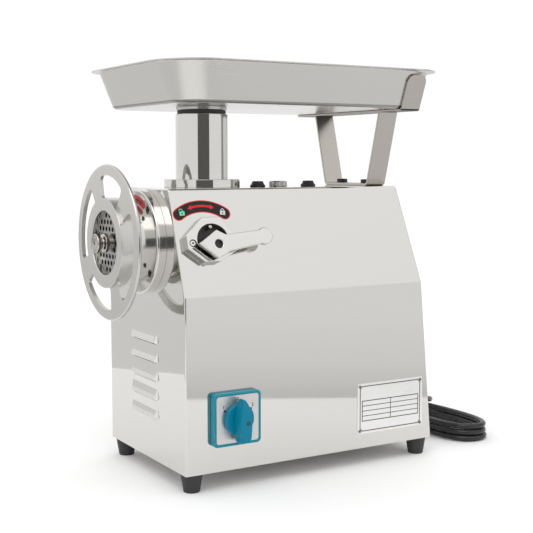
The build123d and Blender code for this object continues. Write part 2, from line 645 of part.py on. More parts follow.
def make_lock():
    width = GUIDE_HALF_WIDTH
    upper = GUIDE_UPPER
    lower = GUIDE_LOWER
    flat = GUIDE_FLAT
    outline = Polyline((-width, flat), (-flat, upper), (GUIDE_TOP_END, upper), (width, flat),
                       (width, -flat * 1.5), (flat, -lower), (-GUIDE_BOTTOM_END, -lower),
                       (-width, -flat), close=True)
    bore = on_guide(BORE_U, BORE_V)
    guide = on_guide() * extrude(make_face(outline), GUIDE_THICKNESS)
    guide -= bore * Cylinder(GUIDE_BORE, 4 * GUIDE_THICKNESS)
    guide += bore * Cylinder(GUIDE_BORE, HUB_FLOOR, align=LOW)
    guide -= on_lock() * Cylinder(HUB_STEM_RADIUS + BEARING_CLEARANCE, 10)
    guide -= on_guide(v=STOP_PIN_V) * Cylinder(STOP_PIN_RADIUS, 6)
    screw_place = on_guide(GUIDE_SCREW_U, GUIDE_SCREW_V, GUIDE_THICKNESS - 4)
    keep("lever_guide_plate", guide - screw_place * Cylinder(4, 8, align=LOW))

    socket = Pos(0, 0, 2) * extrude(RegularPolygon(2, 6), 3)
    keep("guide_screw", screw_place * (Cylinder(4, 3.6, align=LOW) - socket))
    pin = Cylinder(STOP_PIN_RADIUS, GUIDE_THICKNESS + 2, align=LOW)
    keep("stop_pin", on_guide(v=STOP_PIN_V) * pin)

    base = HUB_FLOOR + RUNNING_GAP
    pivot = on_lock().position
    stem = hypot(pivot.Y, pivot.Z - HEAD_Z) - BARREL_RADIUS - HUB_STEM_GAP
    hub = Pos(0, 0, base) * Cylinder(HUB_RADIUS, HUB_HEIGHT, align=LOW)
    hub += Pos(0, 0, -stem) * Cylinder(HUB_STEM_RADIUS, stem + base + 1, align=LOW)
    lever_base = base + HUB_HEIGHT
    keep("lever_hub", on_lock() * (hub - Pos(0, 0, lever_base) * Cylinder(LEVER_BORE, 4)))

    half_neck = LEVER_NECK_WIDTH / 2
    head = Polyline((-LEVER_NOSE, half_neck / 2), (1, LEVER_HEAD), (LEVER_HEAD * 0.7, half_neck + 1.5),
                    (LEVER_REACH, half_neck), (LEVER_REACH, -half_neck),
                    (LEVER_HEAD * 0.8, -half_neck - 2.5), (-4.5, -LEVER_HEAD), close=True)
    arm = extrude(make_face(head), LEVER_THICKNESS)
    tip = Pos(LEVER_REACH, 0, 0) * Cylinder(LEVER_TIP_RADIUS, LEVER_THICKNESS + LEVER_TIP_EXTRA, align=LOW)
    arm = arm + tip - Cylinder(LEVER_BORE, 40)
    keep("lock_lever", on_lock() * Pos(0, 0, lever_base) * Rot(0, 0, LEVER_RISE) * arm)


def make_labels():
    half = LABEL_SWEEP / 2
    arc = CenterArc((0, 0), LABEL_RADIUS, 90 - half, LABEL_SWEEP)
    band = make_face(offset(Wire(arc), LABEL_WIDTH / 2, side=Side.BOTH))
    keep("lock_label", on_guide(LABEL_U, LABEL_V) * extrude(band, LABEL_THICKNESS))

    facing = Plane(origin=(-FLANGE_THICKNESS, 0, HEAD_Z), x_dir=(0, -1, 0), z_dir=(-1, 0, 0))
    arc = CenterArc((0, 0), DIRECTION_RADIUS, DIRECTION_FIRST, DIRECTION_SWEEP)
    band = make_face(offset(Wire(arc), DIRECTION_WIDTH / 2, side=Side.BOTH))
    keep("direction_label", facing.location * extrude(band, LABEL_THICKNESS))


# ---- switch and nameplate ----
def facing_side(x, z, depth=0.0):
    """Place on the lower side panel, its z outward (-Y), its x along +X and its y up."""
    return Plane(origin=(x, -HALF_WIDTH - depth, z), x_dir=(1, 0, 0), z_dir=(0, -1, 0)).location


def make_switch():
    place = facing_side(SWITCH_X, SWITCH_Z)
    face_size = SWITCH_SIZE - 2 * FACE_MARGIN
    frame = extrude(RectangleRounded(SWITCH_SIZE, SWITCH_SIZE, SWITCH_CORNER), SWITCH_DEPTH)
    frame = fillet(frame.edges().group_by(Axis.Z)[-1], 1.5)
    recess = Pos(0, 0, SWITCH_DEPTH - FACE_DEPTH)
    face_outline = RectangleRounded(face_size, face_size, SWITCH_CORNER - 1.5)
    frame -= recess * extrude(face_outline, FACE_DEPTH + 1)
    shaft_hole = Cylinder(KNOB_SHAFT_RADIUS + BEARING_CLEARANCE, 200)
    keep("switch_frame", place * (frame - shaft_hole))
    keep("switch_face_plate", place * recess * (extrude(face_outline, FACE_DEPTH) - shaft_hole))

    size = SWITCH_BODY_SIZE
    body = Pos(0, 0, -SHEET - SWITCH_BODY_DEPTH) * Box(size, size, SWITCH_BODY_DEPTH, align=LOW)
    keep("switch_body", place * (body - Pos(0, 0, -SHEET) * Cylinder(KNOB_SHAFT_RADIUS + 1, 40)))

    start = SWITCH_DEPTH + RUNNING_GAP
    knob = Pos(0, 0, start) * Cylinder(KNOB_RADIUS, KNOB_DISC, align=LOW)
    knob += Pos(0, 0, -SHEET - 10) * Cylinder(KNOB_SHAFT_RADIUS, start + SHEET + 12, align=LOW)
    half = KNOB_WIDTH / 2
    reach = KNOB_LENGTH / 2
    outline = Polyline((-half, -reach + 6), (-half + 2, -reach), (half - 2, -reach), (half, -reach + 6),
                       (half, reach - 12), (2.5, reach), (-2.5, reach), (-half, reach - 12), close=True)
    bar = extrude(make_face(outline), KNOB_HEIGHT)
    bar = fillet(bar.edges().group_by(Axis.Z)[-1], 1.5)
    keep("switch_knob", place * (knob + Pos(0, 0, start) * bar))


def make_nameplate():
    place = facing_side(NAMEPLATE_X, NAMEPLATE_Z)
    plate = Box(NAMEPLATE_LENGTH, NAMEPLATE_HEIGHT, NAMEPLATE_SHEET, align=LOW)
    keep("nameplate", place * plate)
    across = NAMEPLATE_LENGTH / 2 - NAMEPLATE_SCREW_INSET
    up = NAMEPLATE_HEIGHT / 2 - NAMEPLATE_SCREW_INSET
    corners = [(-across, -up), (across, -up), (across, up), (-across, up)]
    for number, (x, y) in enumerate(corners, start=1):
        head = Pos(x, y, NAMEPLATE_SHEET) * Cylinder(NAMEPLATE_SCREW_RADIUS, NAMEPLATE_SCREW_HEAD, align=LOW)
        keep(f"nameplate_screw_{number}", place * head)


# ---- drive ----
def gear(teeth, x0, x1, z, first_tooth):
    """Straight-toothed gear about a line along X; first_tooth is the angle of one tooth's middle."""
    pitch_radius = GEAR_MODULE * teeth / 2
    tip = pitch_radius + 0.8 * GEAR_MODULE
    root = pitch_radius - 1.1 * GEAR_MODULE
    tip_half = degrees(0.34 * GEAR_MODULE / tip)
    root_half = degrees(1.0 * GEAR_MODULE / root)
    points = []
    for tooth in range(teeth):
        middle = first_tooth + 360 / teeth * tooth
        flanks = ((root, -root_half), (tip, -tip_half), (tip, tip_half), (root, root_half))
        for radius, offset_angle in flanks:
            angle = radians(middle + offset_angle)
            points.append((radius * cos(angle), radius * sin(angle)))
    outline = make_face(Polyline(*points, close=True))
    across = Plane(origin=(x0, 0, z), x_dir=(0, 1, 0), z_dir=(1, 0, 0))
    return across.location * extrude(outline, x1 - x0)


def make_drive():
    lay_z = HEAD_Z - GEAR_MODULE * (OUTPUT_TEETH + PINION_TEETH) / 2
    motor_z = lay_z - GEAR_MODULE * (WHEEL_TEETH + MOTOR_TEETH) / 2
    front = CASE_FRONT
    inner = front + CASE_WALL
    back = front + CASE_DEPTH
    cover_back = back + CASE_WALL
    fast_start = inner + 2
    slow_start = fast_start + GEAR_FACE + 3
    slow_end = slow_start + GEAR_FACE - 2
    case_top = HEAD_Z + CASE_HEADROOM + CASE_WALL
    case_low = motor_z - MOTOR_RADIUS
    run = BEARING_CLEARANCE

    case = block(front, back, -CASE_HALF_WIDTH, CASE_HALF_WIDTH, BASE_Z + BASE_SHEET, case_top)
    case -= block(inner, back + 1, CASE_WALL - CASE_HALF_WIDTH, CASE_HALF_WIDTH - CASE_WALL,
                  case_low, case_top - CASE_WALL)
    case -= rod_x(SOCKET_RADIUS + run, 0, inner + 1, z=HEAD_Z)
    case -= rod_x(LAYSHAFT_RADIUS + run, front + 2, inner + 1, z=lay_z)
    case -= rod_x(MOTOR_SHAFT_RADIUS + run, front + 2, inner + 1, z=motor_z)
    keep("gearbox_case", case)

    cover = block(back, cover_back, -CASE_HALF_WIDTH, CASE_HALF_WIDTH, BASE_Z + BASE_SHEET, case_top)
    cover -= rod_x(SHAFT_RADIUS + run, back - 1, cover_back - 2, z=HEAD_Z)
    cover -= rod_x(LAYSHAFT_RADIUS + run, back - 1, cover_back - 2, z=lay_z)
    cover -= rod_x(MOTOR_SHAFT_RADIUS + run, back - 1, cover_back + 1, z=motor_z)
    keep("gearbox_cover", cover)

    socket_front = CASE_FRONT - 3
    output = gear(OUTPUT_TEETH, fast_start, fast_start + GEAR_FACE, HEAD_Z, -90)
    output += rod_x(SOCKET_RADIUS, socket_front, fast_start + 1, z=HEAD_Z)
    output += rod_x(SHAFT_RADIUS, fast_start, cover_back - 2.5, z=HEAD_Z)
    half = AUGER_TANG / 2 + run
    output -= block(socket_front - 1, CASE_FRONT + CASE_WALL + 1, -half, half, HEAD_Z - half, HEAD_Z + half)
    keep("output_gear", output)

    middle = gear(PINION_TEETH, fast_start, slow_start, lay_z, 90 + 180 / PINION_TEETH)
    middle += gear(WHEEL_TEETH, slow_start, slow_end, lay_z, -90)
    middle += rod_x(LAYSHAFT_RADIUS, front + 2.5, cover_back - 2.5, z=lay_z)
    keep("intermediate_gear", middle)

    motor_back = cover_back + MOTOR_LENGTH
    motor = rod_x(MOTOR_RADIUS, cover_back, motor_back, z=motor_z)
    motor -= rod_x(MOTOR_RADIUS - MOTOR_WALL, cover_back + MOTOR_WALL, motor_back - MOTOR_WALL, z=motor_z)
    motor -= rod_x(MOTOR_SHAFT_RADIUS + run, cover_back - 1, motor_back + 1, z=motor_z)
    cradle = block(cover_back + 20, motor_back - 20, -40, 40, BASE_Z + BASE_SHEET, motor_z)
    motor += cradle - rod_x(MOTOR_RADIUS - MOTOR_WALL / 2, 0, BODY_LENGTH, z=motor_z)
    keep("motor_case", motor)

    fan_start = motor_back + 4
    rotor = gear(MOTOR_TEETH, slow_start, slow_end, motor_z, 90 + 180 / MOTOR_TEETH)
    rotor += rod_x(MOTOR_SHAFT_RADIUS, front + 2.5, fan_start + FAN_WIDTH, z=motor_z)
    rotor += rod_x(ROTOR_RADIUS, cover_back + 25, motor_back - 25, z=motor_z)
    rotor += rod_x(FAN_RADIUS - 2, fan_start, fan_start + 2, z=motor_z)
    for blade in range(FAN_BLADES):
        vane = block(fan_start, fan_start + FAN_WIDTH, MOTOR_SHAFT_RADIUS - 2, FAN_RADIUS, -1.5, 1.5)
        rotor += Pos(0, 0, motor_z) * Rot(360 / FAN_BLADES * blade, 0, 0) * vane
    keep("motor_rotor", rotor)

    floor = BASE_Z + BASE_SHEET
    can = rod_x(CAPACITOR_RADIUS, 0, CAPACITOR_LENGTH, CAPACITOR_Y, floor + CAPACITOR_RADIUS)
    saddle = block(10, CAPACITOR_LENGTH - 10, CAPACITOR_Y - 12, CAPACITOR_Y + 12, floor, floor + 8)
    keep("run_capacitor", Pos(cover_back + 20, 0, 0) * (can + saddle))


# ---- supply cord ----
def coil_outline(end_radius):
    """Plan of the long coil: a slot along Y."""
    return Rot(0, 0, 90) * SlotCenterToCenter(2 * COIL_HALF_SIDE, 2 * end_radius)


def cord_tube(points, name):
    """Round tube along straight runs joined by arcs as large as the runs allow."""
    places = [Vector(*point) for point in points]
    runs = [b - a for a, b in zip(places, places[1:])]
    radii = []
    for before, after in zip(runs, runs[1:]):
        turn = radians(before.get_angle(after))
        radii.append(0.45 * min(before.length, after.length) / tan(turn / 2))
    path = FilletPolyline(*places, radius=radii)
    section = Plane(origin=places[0], z_dir=runs[0]) * Circle(CORD_DIAMETER / 2)
    tube = sweep(section, path=path)
    print(name, "length", round(path.length, 1), "radii", [round(radius, 1) for radius in radii],
          "volume ratio", round(tube.volume / (pi * (CORD_DIAMETER / 2) ** 2 * path.length), 4))
    keep(name, tube)
    return path.length


def make_cord():
    place = rear_plane(GLAND_Y, GLAND_Z).location
    gland = Cylinder(GLAND_RADIUS, GLAND_NUT, align=LOW)
    boot = Pos(0, 0, GLAND_NUT)
    boot = boot * Cone(GLAND_RADIUS - 2.5, CORD_DIAMETER / 2 + 1.2, GLAND_LENGTH - GLAND_NUT, align=LOW)
    stem = Pos(0, 0, -SHEET - 4) * Cylinder(CORD_DIAMETER, SHEET + 4, align=LOW)
    keep("cable_gland", place * (gland + boot + stem))

    exit_point = (place * Pos(0, 0, GLAND_LENGTH)).position
    first_turn = exit_point + rear_normal() * (GLAND_LENGTH - 1)
    lead_length = cord_tube([exit_point, first_turn, *LEAD_POINTS], "supply_cord")

    reach = CORD_DIAMETER / 2 + COIL_SCATTER
    ring = coil_outline(COIL_END_RADIUS + reach) - coil_outline(COIL_END_RADIUS - reach)
    keep("cord_coil", Pos(COIL_X, 0, 0) * extrude(ring, COIL_HEIGHT))
    turn = 2 * pi * COIL_END_RADIUS + 4 * COIL_HALF_SIDE

    tail_length = cord_tube(TAIL_POINTS, "cord_tail")
    print("cord length", round(lead_length + COIL_TURNS * turn + tail_length))

    end = Vector(*TAIL_POINTS[-1])
    body = block(-PLUG_LENGTH, 0, -PLUG_WIDTH / 2, PLUG_WIDTH / 2, -PLUG_HEIGHT / 2, PLUG_HEIGHT / 2)
    body = fillet(body.edges().filter_by(Axis.X), 6)
    for side in (-1, 1):
        middle = side * 6.35
        body += block(-PLUG_LENGTH - PRONG_LENGTH, -PLUG_LENGTH + 1, middle - 0.8, middle + 0.8, -3.2, 3.2)
    keep("cord_plug", Pos(end.X, end.Y, end.Z) * body)


def main():
    make_housing()
    make_feet()
    make_barrel()
    make_plate()
    make_auger()
    make_hand_wheel()
    make_tray()
    make_bracket()
    make_top_fittings()
    make_lock()
    make_labels()
    make_switch()
    make_nameplate()
    make_drive()
    make_cord()
    os.makedirs("parts", exist_ok=True)
    for name, solid in PARTS.items():
        export_step(Pos(-MID_X, 0, 0) * solid, f"parts/{name}.step")
    print(len(PARTS), "nodes; origin at x =", round(MID_X, 3))


main()
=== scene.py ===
"""Looks of the electric meat grinder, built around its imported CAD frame.

Metres, in the CAD's own frame.  Sizes in the code are millimetres times MM.  Places are given from the
datum that the real machine is measured from: x = 0 is the outer face of the head-end panel, +X runs to
the rear, the controls are on the -Y side and z = 0 is the surface that the feet stand on.
"""
import json
import math

import bmesh
import bpy
from mathutils import Matrix, Vector


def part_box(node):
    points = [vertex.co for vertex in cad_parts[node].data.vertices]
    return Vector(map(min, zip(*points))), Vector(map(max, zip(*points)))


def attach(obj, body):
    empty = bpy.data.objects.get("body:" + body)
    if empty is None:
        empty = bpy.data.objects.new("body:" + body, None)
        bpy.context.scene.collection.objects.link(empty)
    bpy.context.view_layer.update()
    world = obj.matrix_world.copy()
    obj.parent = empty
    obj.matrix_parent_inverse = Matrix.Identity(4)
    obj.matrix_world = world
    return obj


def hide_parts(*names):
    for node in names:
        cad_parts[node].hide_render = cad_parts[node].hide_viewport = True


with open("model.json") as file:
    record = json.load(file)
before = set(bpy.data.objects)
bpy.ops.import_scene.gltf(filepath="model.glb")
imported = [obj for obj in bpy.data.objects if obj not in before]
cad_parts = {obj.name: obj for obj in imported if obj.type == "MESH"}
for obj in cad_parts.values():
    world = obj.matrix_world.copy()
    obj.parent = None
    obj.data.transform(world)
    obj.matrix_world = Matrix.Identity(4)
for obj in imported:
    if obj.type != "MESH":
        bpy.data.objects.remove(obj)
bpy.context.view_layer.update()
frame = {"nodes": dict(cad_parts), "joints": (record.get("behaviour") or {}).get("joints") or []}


def middle_of(node):
    """Middle of a CAD node's box."""
    low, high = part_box(node)
    return (low + high) / 2


MM = 0.001
DATUM_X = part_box("barrel_flange")[1].x
HEAD_Z = middle_of("ring_nut").z
SIDE_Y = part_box("housing_wrap")[0].y
TOP_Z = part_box("housing_wrap")[1].z
# frames with their z along the head's axis, to the rear, and up the throat's
HEAD_AXIS = Matrix.Translation((DATUM_X, 0, HEAD_Z)) @ Matrix.Rotation(math.pi / 2, 4, "Y")
THROAT_AXIS = Matrix.Translation((middle_of("feed_throat").x, 0, 0))


def at(x, y, z):
    """A point given in datum millimetres, in the frame's metres."""
    return Vector((DATUM_X + x * MM, y * MM, z * MM))


def standing(node):
    """Upright frame at the middle of a CAD node's base."""
    middle = middle_of(node)
    return Matrix.Translation((middle.x, middle.y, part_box(node)[0].z))


def side_frame(node, y=SIDE_Y):
    """Frame at a node's middle on the lower side panel: x to the rear, y up and z outwards."""
    middle = middle_of(node)
    turn = Matrix(((1, 0, 0), (0, 0, -1), (0, 1, 0))).to_4x4()
    return Matrix.Translation((middle.x, y, middle.z)) @ turn


def head_face(x):
    """Frame on the head's axis that faces the front: its x towards -Y, y up and z towards -X."""
    turn = Matrix(((0, 0, -1), (-1, 0, 0), (0, 1, 0))).to_4x4()
    return Matrix.Translation(at(x, 0, 0) + Vector((0, 0, HEAD_Z))) @ turn


def lifted(place, x, y, z):
    """A frame moved along its own axes, mm."""
    return place @ Matrix.Translation((x * MM, y * MM, z * MM))


# ---- camera ----
LENS = 72.54
EYE = (-0.67659, -1.16984, 0.37797)
LOOKS_DOWN, LOOKS_ACROSS = 5.621, 30.845


def make_camera():
    data = bpy.data.cameras.new("camera")
    data.lens = LENS
    data.sensor_width = 36.0
    data.clip_start = 0.05
    camera = bpy.data.objects.new("camera", data)
    camera.location = EYE
    camera.rotation_euler = (math.radians(90 - LOOKS_DOWN), 0, math.radians(-LOOKS_ACROSS))
    bpy.context.scene.collection.objects.link(camera)
    bpy.context.scene.camera = camera


# ---- materials ----
MATERIALS = {}


def add_node(nodes, kind, **inputs):
    """New shader node with inputs set; an underscore stands for a space in an input's name."""
    made = nodes.new(kind)
    for name, value in inputs.items():
        made.inputs[name.replace("_", " ")].default_value = value
    return made


def turned_coords(nodes, links, coords):
    """The distance from the z axis and the height along it, which draw the rings that a lathe leaves."""
    split = nodes.new("ShaderNodeSeparateXYZ")
    links.new(coords, split.inputs[0])
    flat = nodes.new("ShaderNodeCombineXYZ")
    links.new(split.outputs[0], flat.inputs[0])
    links.new(split.outputs[1], flat.inputs[1])
    radius = nodes.new("ShaderNodeVectorMath")
    radius.operation = "LENGTH"
    links.new(flat.outputs[0], radius.inputs[0])
    rings = nodes.new("ShaderNodeCombineXYZ")
    links.new(radius.outputs["Value"], rings.inputs[0])
    links.new(split.outputs[2], rings.inputs[1])
    return rings.outputs[0]


def material(name, color, metallic=0.0, rough=0.5, spread=0.05, grain=(300, 300, 300), tone=0.05,
             bump=0.1, depth=0.0001, turned=False, waves=0.0, **sockets):
    """Principled material with procedural grain in its colour, roughness and bump.

    grain is the noise frequency along the piece's own axes, or for a turned piece across its radius and
    along its axis; tone, spread and bump are how much the grain changes the colour, roughness and
    surface; waves is the height in metres of the broad unevenness of rolled sheet.
    """
    made = bpy.data.materials.new(name)
    made.use_nodes = True
    nodes, links = made.node_tree.nodes, made.node_tree.links
    shader = nodes["Principled BSDF"]
    shader.inputs["Metallic"].default_value = metallic
    for socket, value in sockets.items():
        shader.inputs[socket.replace("_", " ")].default_value = value

    coords = nodes.new("ShaderNodeTexCoord").outputs["Object"]
    stretched = nodes.new("ShaderNodeVectorMath")
    stretched.operation = "MULTIPLY"
    stretched.inputs[1].default_value = grain
    links.new(turned_coords(nodes, links, coords) if turned else coords, stretched.inputs[0])
    noise = add_node(nodes, "ShaderNodeTexNoise", Scale=1.0, Detail=4.0)
    links.new(stretched.outputs[0], noise.inputs["Vector"])
    height = noise.outputs["Fac"]
    cloud = add_node(nodes, "ShaderNodeTexNoise", Scale=14.0, Detail=3.0)
    links.new(coords, cloud.inputs["Vector"])

    both = nodes.new("ShaderNodeMath")
    both.operation = "ADD"
    links.new(height, both.inputs[0])
    links.new(cloud.outputs["Fac"], both.inputs[1])
    ramp = add_node(nodes, "ShaderNodeMapRange", From_Min=0.6, From_Max=1.4,
                    To_Min=max(0.02, rough - spread), To_Max=rough + spread)
    links.new(both.outputs[0], ramp.inputs["Value"])
    links.new(ramp.outputs[0], shader.inputs["Roughness"])

    shades = nodes.new("ShaderNodeMix")
    shades.data_type = "RGBA"
    shades.inputs["A"].default_value = (*[max(0.0, c * (1 - tone)) for c in color], 1)
    shades.inputs["B"].default_value = (*[min(1.0, c * (1 + tone)) for c in color], 1)
    links.new(height, shades.inputs["Factor"])
    links.new(shades.outputs["Result"], shader.inputs["Base Color"])

    fine = add_node(nodes, "ShaderNodeBump", Strength=bump, Distance=depth)
    links.new(height, fine.inputs["Height"])
    normal = fine.outputs["Normal"]
    if waves:
        broad = add_node(nodes, "ShaderNodeBump", Strength=1.0, Distance=waves)
        links.new(cloud.outputs["Fac"], broad.inputs["Height"])
        links.new(normal, broad.inputs["Normal"])
        normal = broad.outputs["Normal"]
    links.new(normal, shader.inputs["Normal"])
    MATERIALS[name] = made


STEEL = (0.655, 0.645, 0.62)
material("mirror_sheet", STEEL, 1.0, 0.045, 0.015, (14, 14, 420), 0.012, 0.02, 0.00001, waves=0.00002)
material("satin_sheet", (0.63, 0.615, 0.59), 1.0, 0.27, 0.05, (6, 900, 900), 0.05, 0.25, 0.00003)
material("strap_sheet", (0.46, 0.43, 0.40), 1.0, 0.24, 0.05, (900, 9, 60), 0.06, 0.25, 0.00003)
material("polished_round", (0.64, 0.63, 0.605), 1.0, 0.07, 0.02, (500, 500, 500), 0.03, 0.15, 0.00003,
         turned=True)
material("turned_round", (0.62, 0.61, 0.585), 1.0, 0.14, 0.03, (900, 900, 900), 0.04, 0.2, 0.00003,
         turned=True)
material("plate_steel", (0.30, 0.295, 0.285), 1.0, 0.24, 0.05, (1200, 700, 1), 0.08, 0.3, 0.00003,
         turned=True)
material("side_steel", (0.50, 0.49, 0.47), 1.0, 0.36, 0.05, (500, 500, 500), 0.05, 0.2, 0.00003)
material("turned_steel", (0.53, 0.52, 0.50), 1.0, 0.22, 0.05, (1200, 700, 1), 0.07, 0.4, 0.00004,
         turned=True)
# painted shade: near-black steel for the hollow insides of the head and for faces under the tray, where shade
# falls
material("painted_shade_steel", (0.045, 0.045, 0.045), 1.0, 0.35, 0.06, (400, 400, 400), 0.08, 0.3, 0.00005)
material("dark_steel", (0.07, 0.07, 0.072), 1.0, 0.3, 0.06, (400, 400, 400), 0.1, 0.25, 0.00004)
material("tray_sheet", (0.58, 0.57, 0.545), 1.0, 0.24, 0.04, (7, 1500, 1500), 0.025, 0.12, 0.00002)
# painted shade: a darker copy of the tray sheet, for the bend under the tray's bottom
material("tray_underside_shade", (0.27, 0.265, 0.25), 1.0, 0.3, 0.04, (7, 1500, 1500), 0.03, 0.15, 0.00002)
material("spool_steel", (0.50, 0.47, 0.43), 1.0, 0.12, 0.03, (500, 500, 500), 0.03, 0.15, 0.00003,
         turned=True)
material("plated_screw", (0.30, 0.285, 0.23), 1.0, 0.28, 0.05, (600, 600, 600), 0.1, 0.2, 0.00003)
material("bright_steel", (0.68, 0.67, 0.65), 1.0, 0.12, 0.04, (300, 300, 300), 0.04, 0.2, 0.00003)
# painted shade: near-black for discs set in holes and openings, where shade falls
material("painted_hole_shade", (0.015, 0.015, 0.015), 0.0, 0.45, 0.1, (600, 600, 600), 0.3, 0.2, 0.0001)
material("machine_paint", (0.20, 0.21, 0.22), 0.0, 0.5, 0.1, (250, 250, 250), 0.15, 0.3, 0.0002)
material("gear_steel", (0.42, 0.41, 0.39), 1.0, 0.32, 0.08, (500, 500, 500), 0.1, 0.3, 0.00008)
material("black_rubber", (0.022, 0.022, 0.023), 0.0, 0.55, 0.1, (900, 900, 900), 0.3, 0.35, 0.0001)
material("cord_rubber", (0.010, 0.010, 0.011), 0.0, 0.28, 0.08, (500, 500, 500), 0.25, 0.2, 0.0001)
material("black_plastic", (0.02, 0.02, 0.021), 0.0, 0.36, 0.08, (1200, 1200, 1200), 0.2, 0.2, 0.00005)
material("teal_plastic", (0.0, 0.175, 0.275), 0.0, 0.3, 0.06, (1400, 1400, 1400), 0.06, 0.15, 0.00004,
         Specular_IOR_Level=0.18)
material("teal_frame", (0.003, 0.22, 0.30), 0.0, 0.34, 0.06, (1400, 1400, 1400), 0.06, 0.15, 0.00004,
         Specular_IOR_Level=0.35)
material("face_metal", (0.60, 0.60, 0.59), 0.85, 0.33, 0.05, (8, 1400, 1400), 0.05, 0.2, 0.00002)
material("plate_metal", (0.80, 0.795, 0.78), 0.9, 0.3, 0.05, (10, 1400, 1400), 0.05, 0.25, 0.00002)
material("engraving", (0.045, 0.045, 0.045), 0.0, 0.5, 0.1, (900, 900, 900), 0.2, 0.1, 0.00003)
material("print_black", (0.012, 0.011, 0.011), 0.0, 0.28, 0.05, (700, 700, 700), 0.2, 0.05, 0.00003,
         Specular_IOR_Level=0.25)
material("print_red", (0.60, 0.018, 0.02), 0.0, 0.3, 0.05, (700, 700, 700), 0.08, 0.05, 0.00003,
         Specular_IOR_Level=0.25)
material("print_green", (0.16, 0.58, 0.34), 0.0, 0.3, 0.05, (700, 700, 700), 0.08, 0.05, 0.00003)
material("print_white", (0.64, 0.64, 0.64), 0.0, 0.3, 0.05, (700, 700, 700), 0.03, 0.05, 0.00003)
material("brass", (0.75, 0.52, 0.22), 1.0, 0.25, 0.06, (400, 400, 400), 0.06, 0.2, 0.00004)


# ---- shapes ----
def rounded(points, radius, closed=True, steps=6):
    """A 2-D outline with its corners rounded; radius is one number, or one for each corner."""
    count = len(points)
    radii = radius if hasattr(radius, "__len__") else [radius] * count
    made = []
    for i, point in enumerate(points):
        here = Vector(point)
        if radii[i] <= 0 or (not closed and i in (0, count - 1)):
            made.append(tuple(here))
            continue
        before = Vector(points[i - 1]) - here
        after = Vector(points[(i + 1) % count]) - here
        angle = before.angle(after)
        reach = min(radii[i] / math.tan(angle / 2), 0.499 * before.length, 0.499 * after.length)
        start, end = here + before.normalized() * reach, here + after.normalized() * reach
        centre = here + (before.normalized() + after.normalized()).normalized() * reach / math.cos(angle / 2)
        arm, sweep = start - centre, (start - centre).angle_signed(end - centre)
        for k in range(steps + 1):
            turn = -sweep * k / steps
            made.append((centre.x + arm.x * math.cos(turn) - arm.y * math.sin(turn),
                         centre.y + arm.x * math.sin(turn) + arm.y * math.cos(turn)))
    return made


def scaled(points):
    """Millimetre points in metres."""
    return [(x * MM, y * MM) for x, y in points]


def circle(radius, centre=(0.0, 0.0), steps=48):
    """Points round a circle."""
    turns = [2 * math.pi * k / steps for k in range(steps)]
    return [(centre[0] + radius * math.cos(t), centre[1] + radius * math.sin(t)) for t in turns]


def band(radius, width, start, sweep, steps=40):
    """Outline of a curved band with round ends; its middle line is an arc, angles in degrees."""
    first, last, half = math.radians(start), math.radians(start + sweep), width / 2

    def spots(centre, reach, angle, turn, count):
        return [(centre[0] + reach * math.cos(angle + turn * k / count),
                 centre[1] + reach * math.sin(angle + turn * k / count)) for k in range(count)]
    ends = [(radius * math.cos(a), radius * math.sin(a)) for a in (first, last)]
    return (spots((0, 0), radius + half, first, last - first, steps) + spots(ends[1], half, last, math.pi, 12)
            + spots((0, 0), radius - half, last, first - last, steps)
            + spots(ends[0], half, first + math.pi, math.pi, 12))


def thickened(line, thickness):
    """Closed outline round a 2-D line, of even thickness."""
    points = [Vector(p) for p in line]
    sides = ([], [])
    for i, point in enumerate(points):
        run = points[min(i + 1, len(points) - 1)] - points[max(i - 1, 0)]
        across = Vector((-run.y, run.x)).normalized() * thickness / 2
        sides[0].append(tuple(point + across))
        sides[1].append(tuple(point - across))
    return sides[0] + sides[1][::-1]


def new_object(name, mesh, place=None):
    made = bpy.data.objects.new(name, mesh)
    bpy.context.scene.collection.objects.link(made)
    if place is not None:
        made.matrix_world = place
    return made


def evaluated_mesh(holder):
    """The mesh that an object's curve, text or modifiers give."""
    bpy.context.view_layer.update()
    return bpy.data.meshes.new_from_object(holder.evaluated_get(bpy.context.evaluated_depsgraph_get()))


def from_bmesh(name, bm, place=None):
    """New object from a bmesh with its faces turned outwards."""
    bmesh.ops.recalc_face_normals(bm, faces=bm.faces)
    mesh = bpy.data.meshes.new(name)
    bm.to_mesh(mesh)
    bm.free()
    return new_object(name, mesh, place)


def bridge(bm, rings, closed):
    """Quads between rings of vertices; a ring of one vertex closes to a point."""
    for p, q in zip(rings, rings[1:] + (rings[:1] if closed else [])):
        for i in range(max(len(p), len(q))):
            j = (i + 1) % max(len(p), len(q))
            corners = [p[i % len(p)], p[j % len(p)], q[j % len(q)], q[i % len(q)]]
            corners = [v for k, v in enumerate(corners) if v not in corners[:k]]
            if len(corners) > 2:
                bm.faces.new(corners)


def lathe_rings(bm, profile, steps):
    """Rings of vertices round the z axis for (radius, height) points."""
    rings = []
    for radius, height in profile:
        if radius < 1e-7:
            rings.append([bm.verts.new((0, 0, height))])
        else:
            rings.append([bm.verts.new((x, y, height)) for x, y in circle(radius, steps=steps)])
    return rings


def lathe(name, profile, place, steps=128):
    """Solid turned round its z axis from (radius, height) points in mm; a tube's profile is a closed loop."""
    bm = bmesh.new()
    bridge(bm, lathe_rings(bm, scaled(profile), steps), profile[0][0] > 0)
    return from_bmesh(name, bm, place)


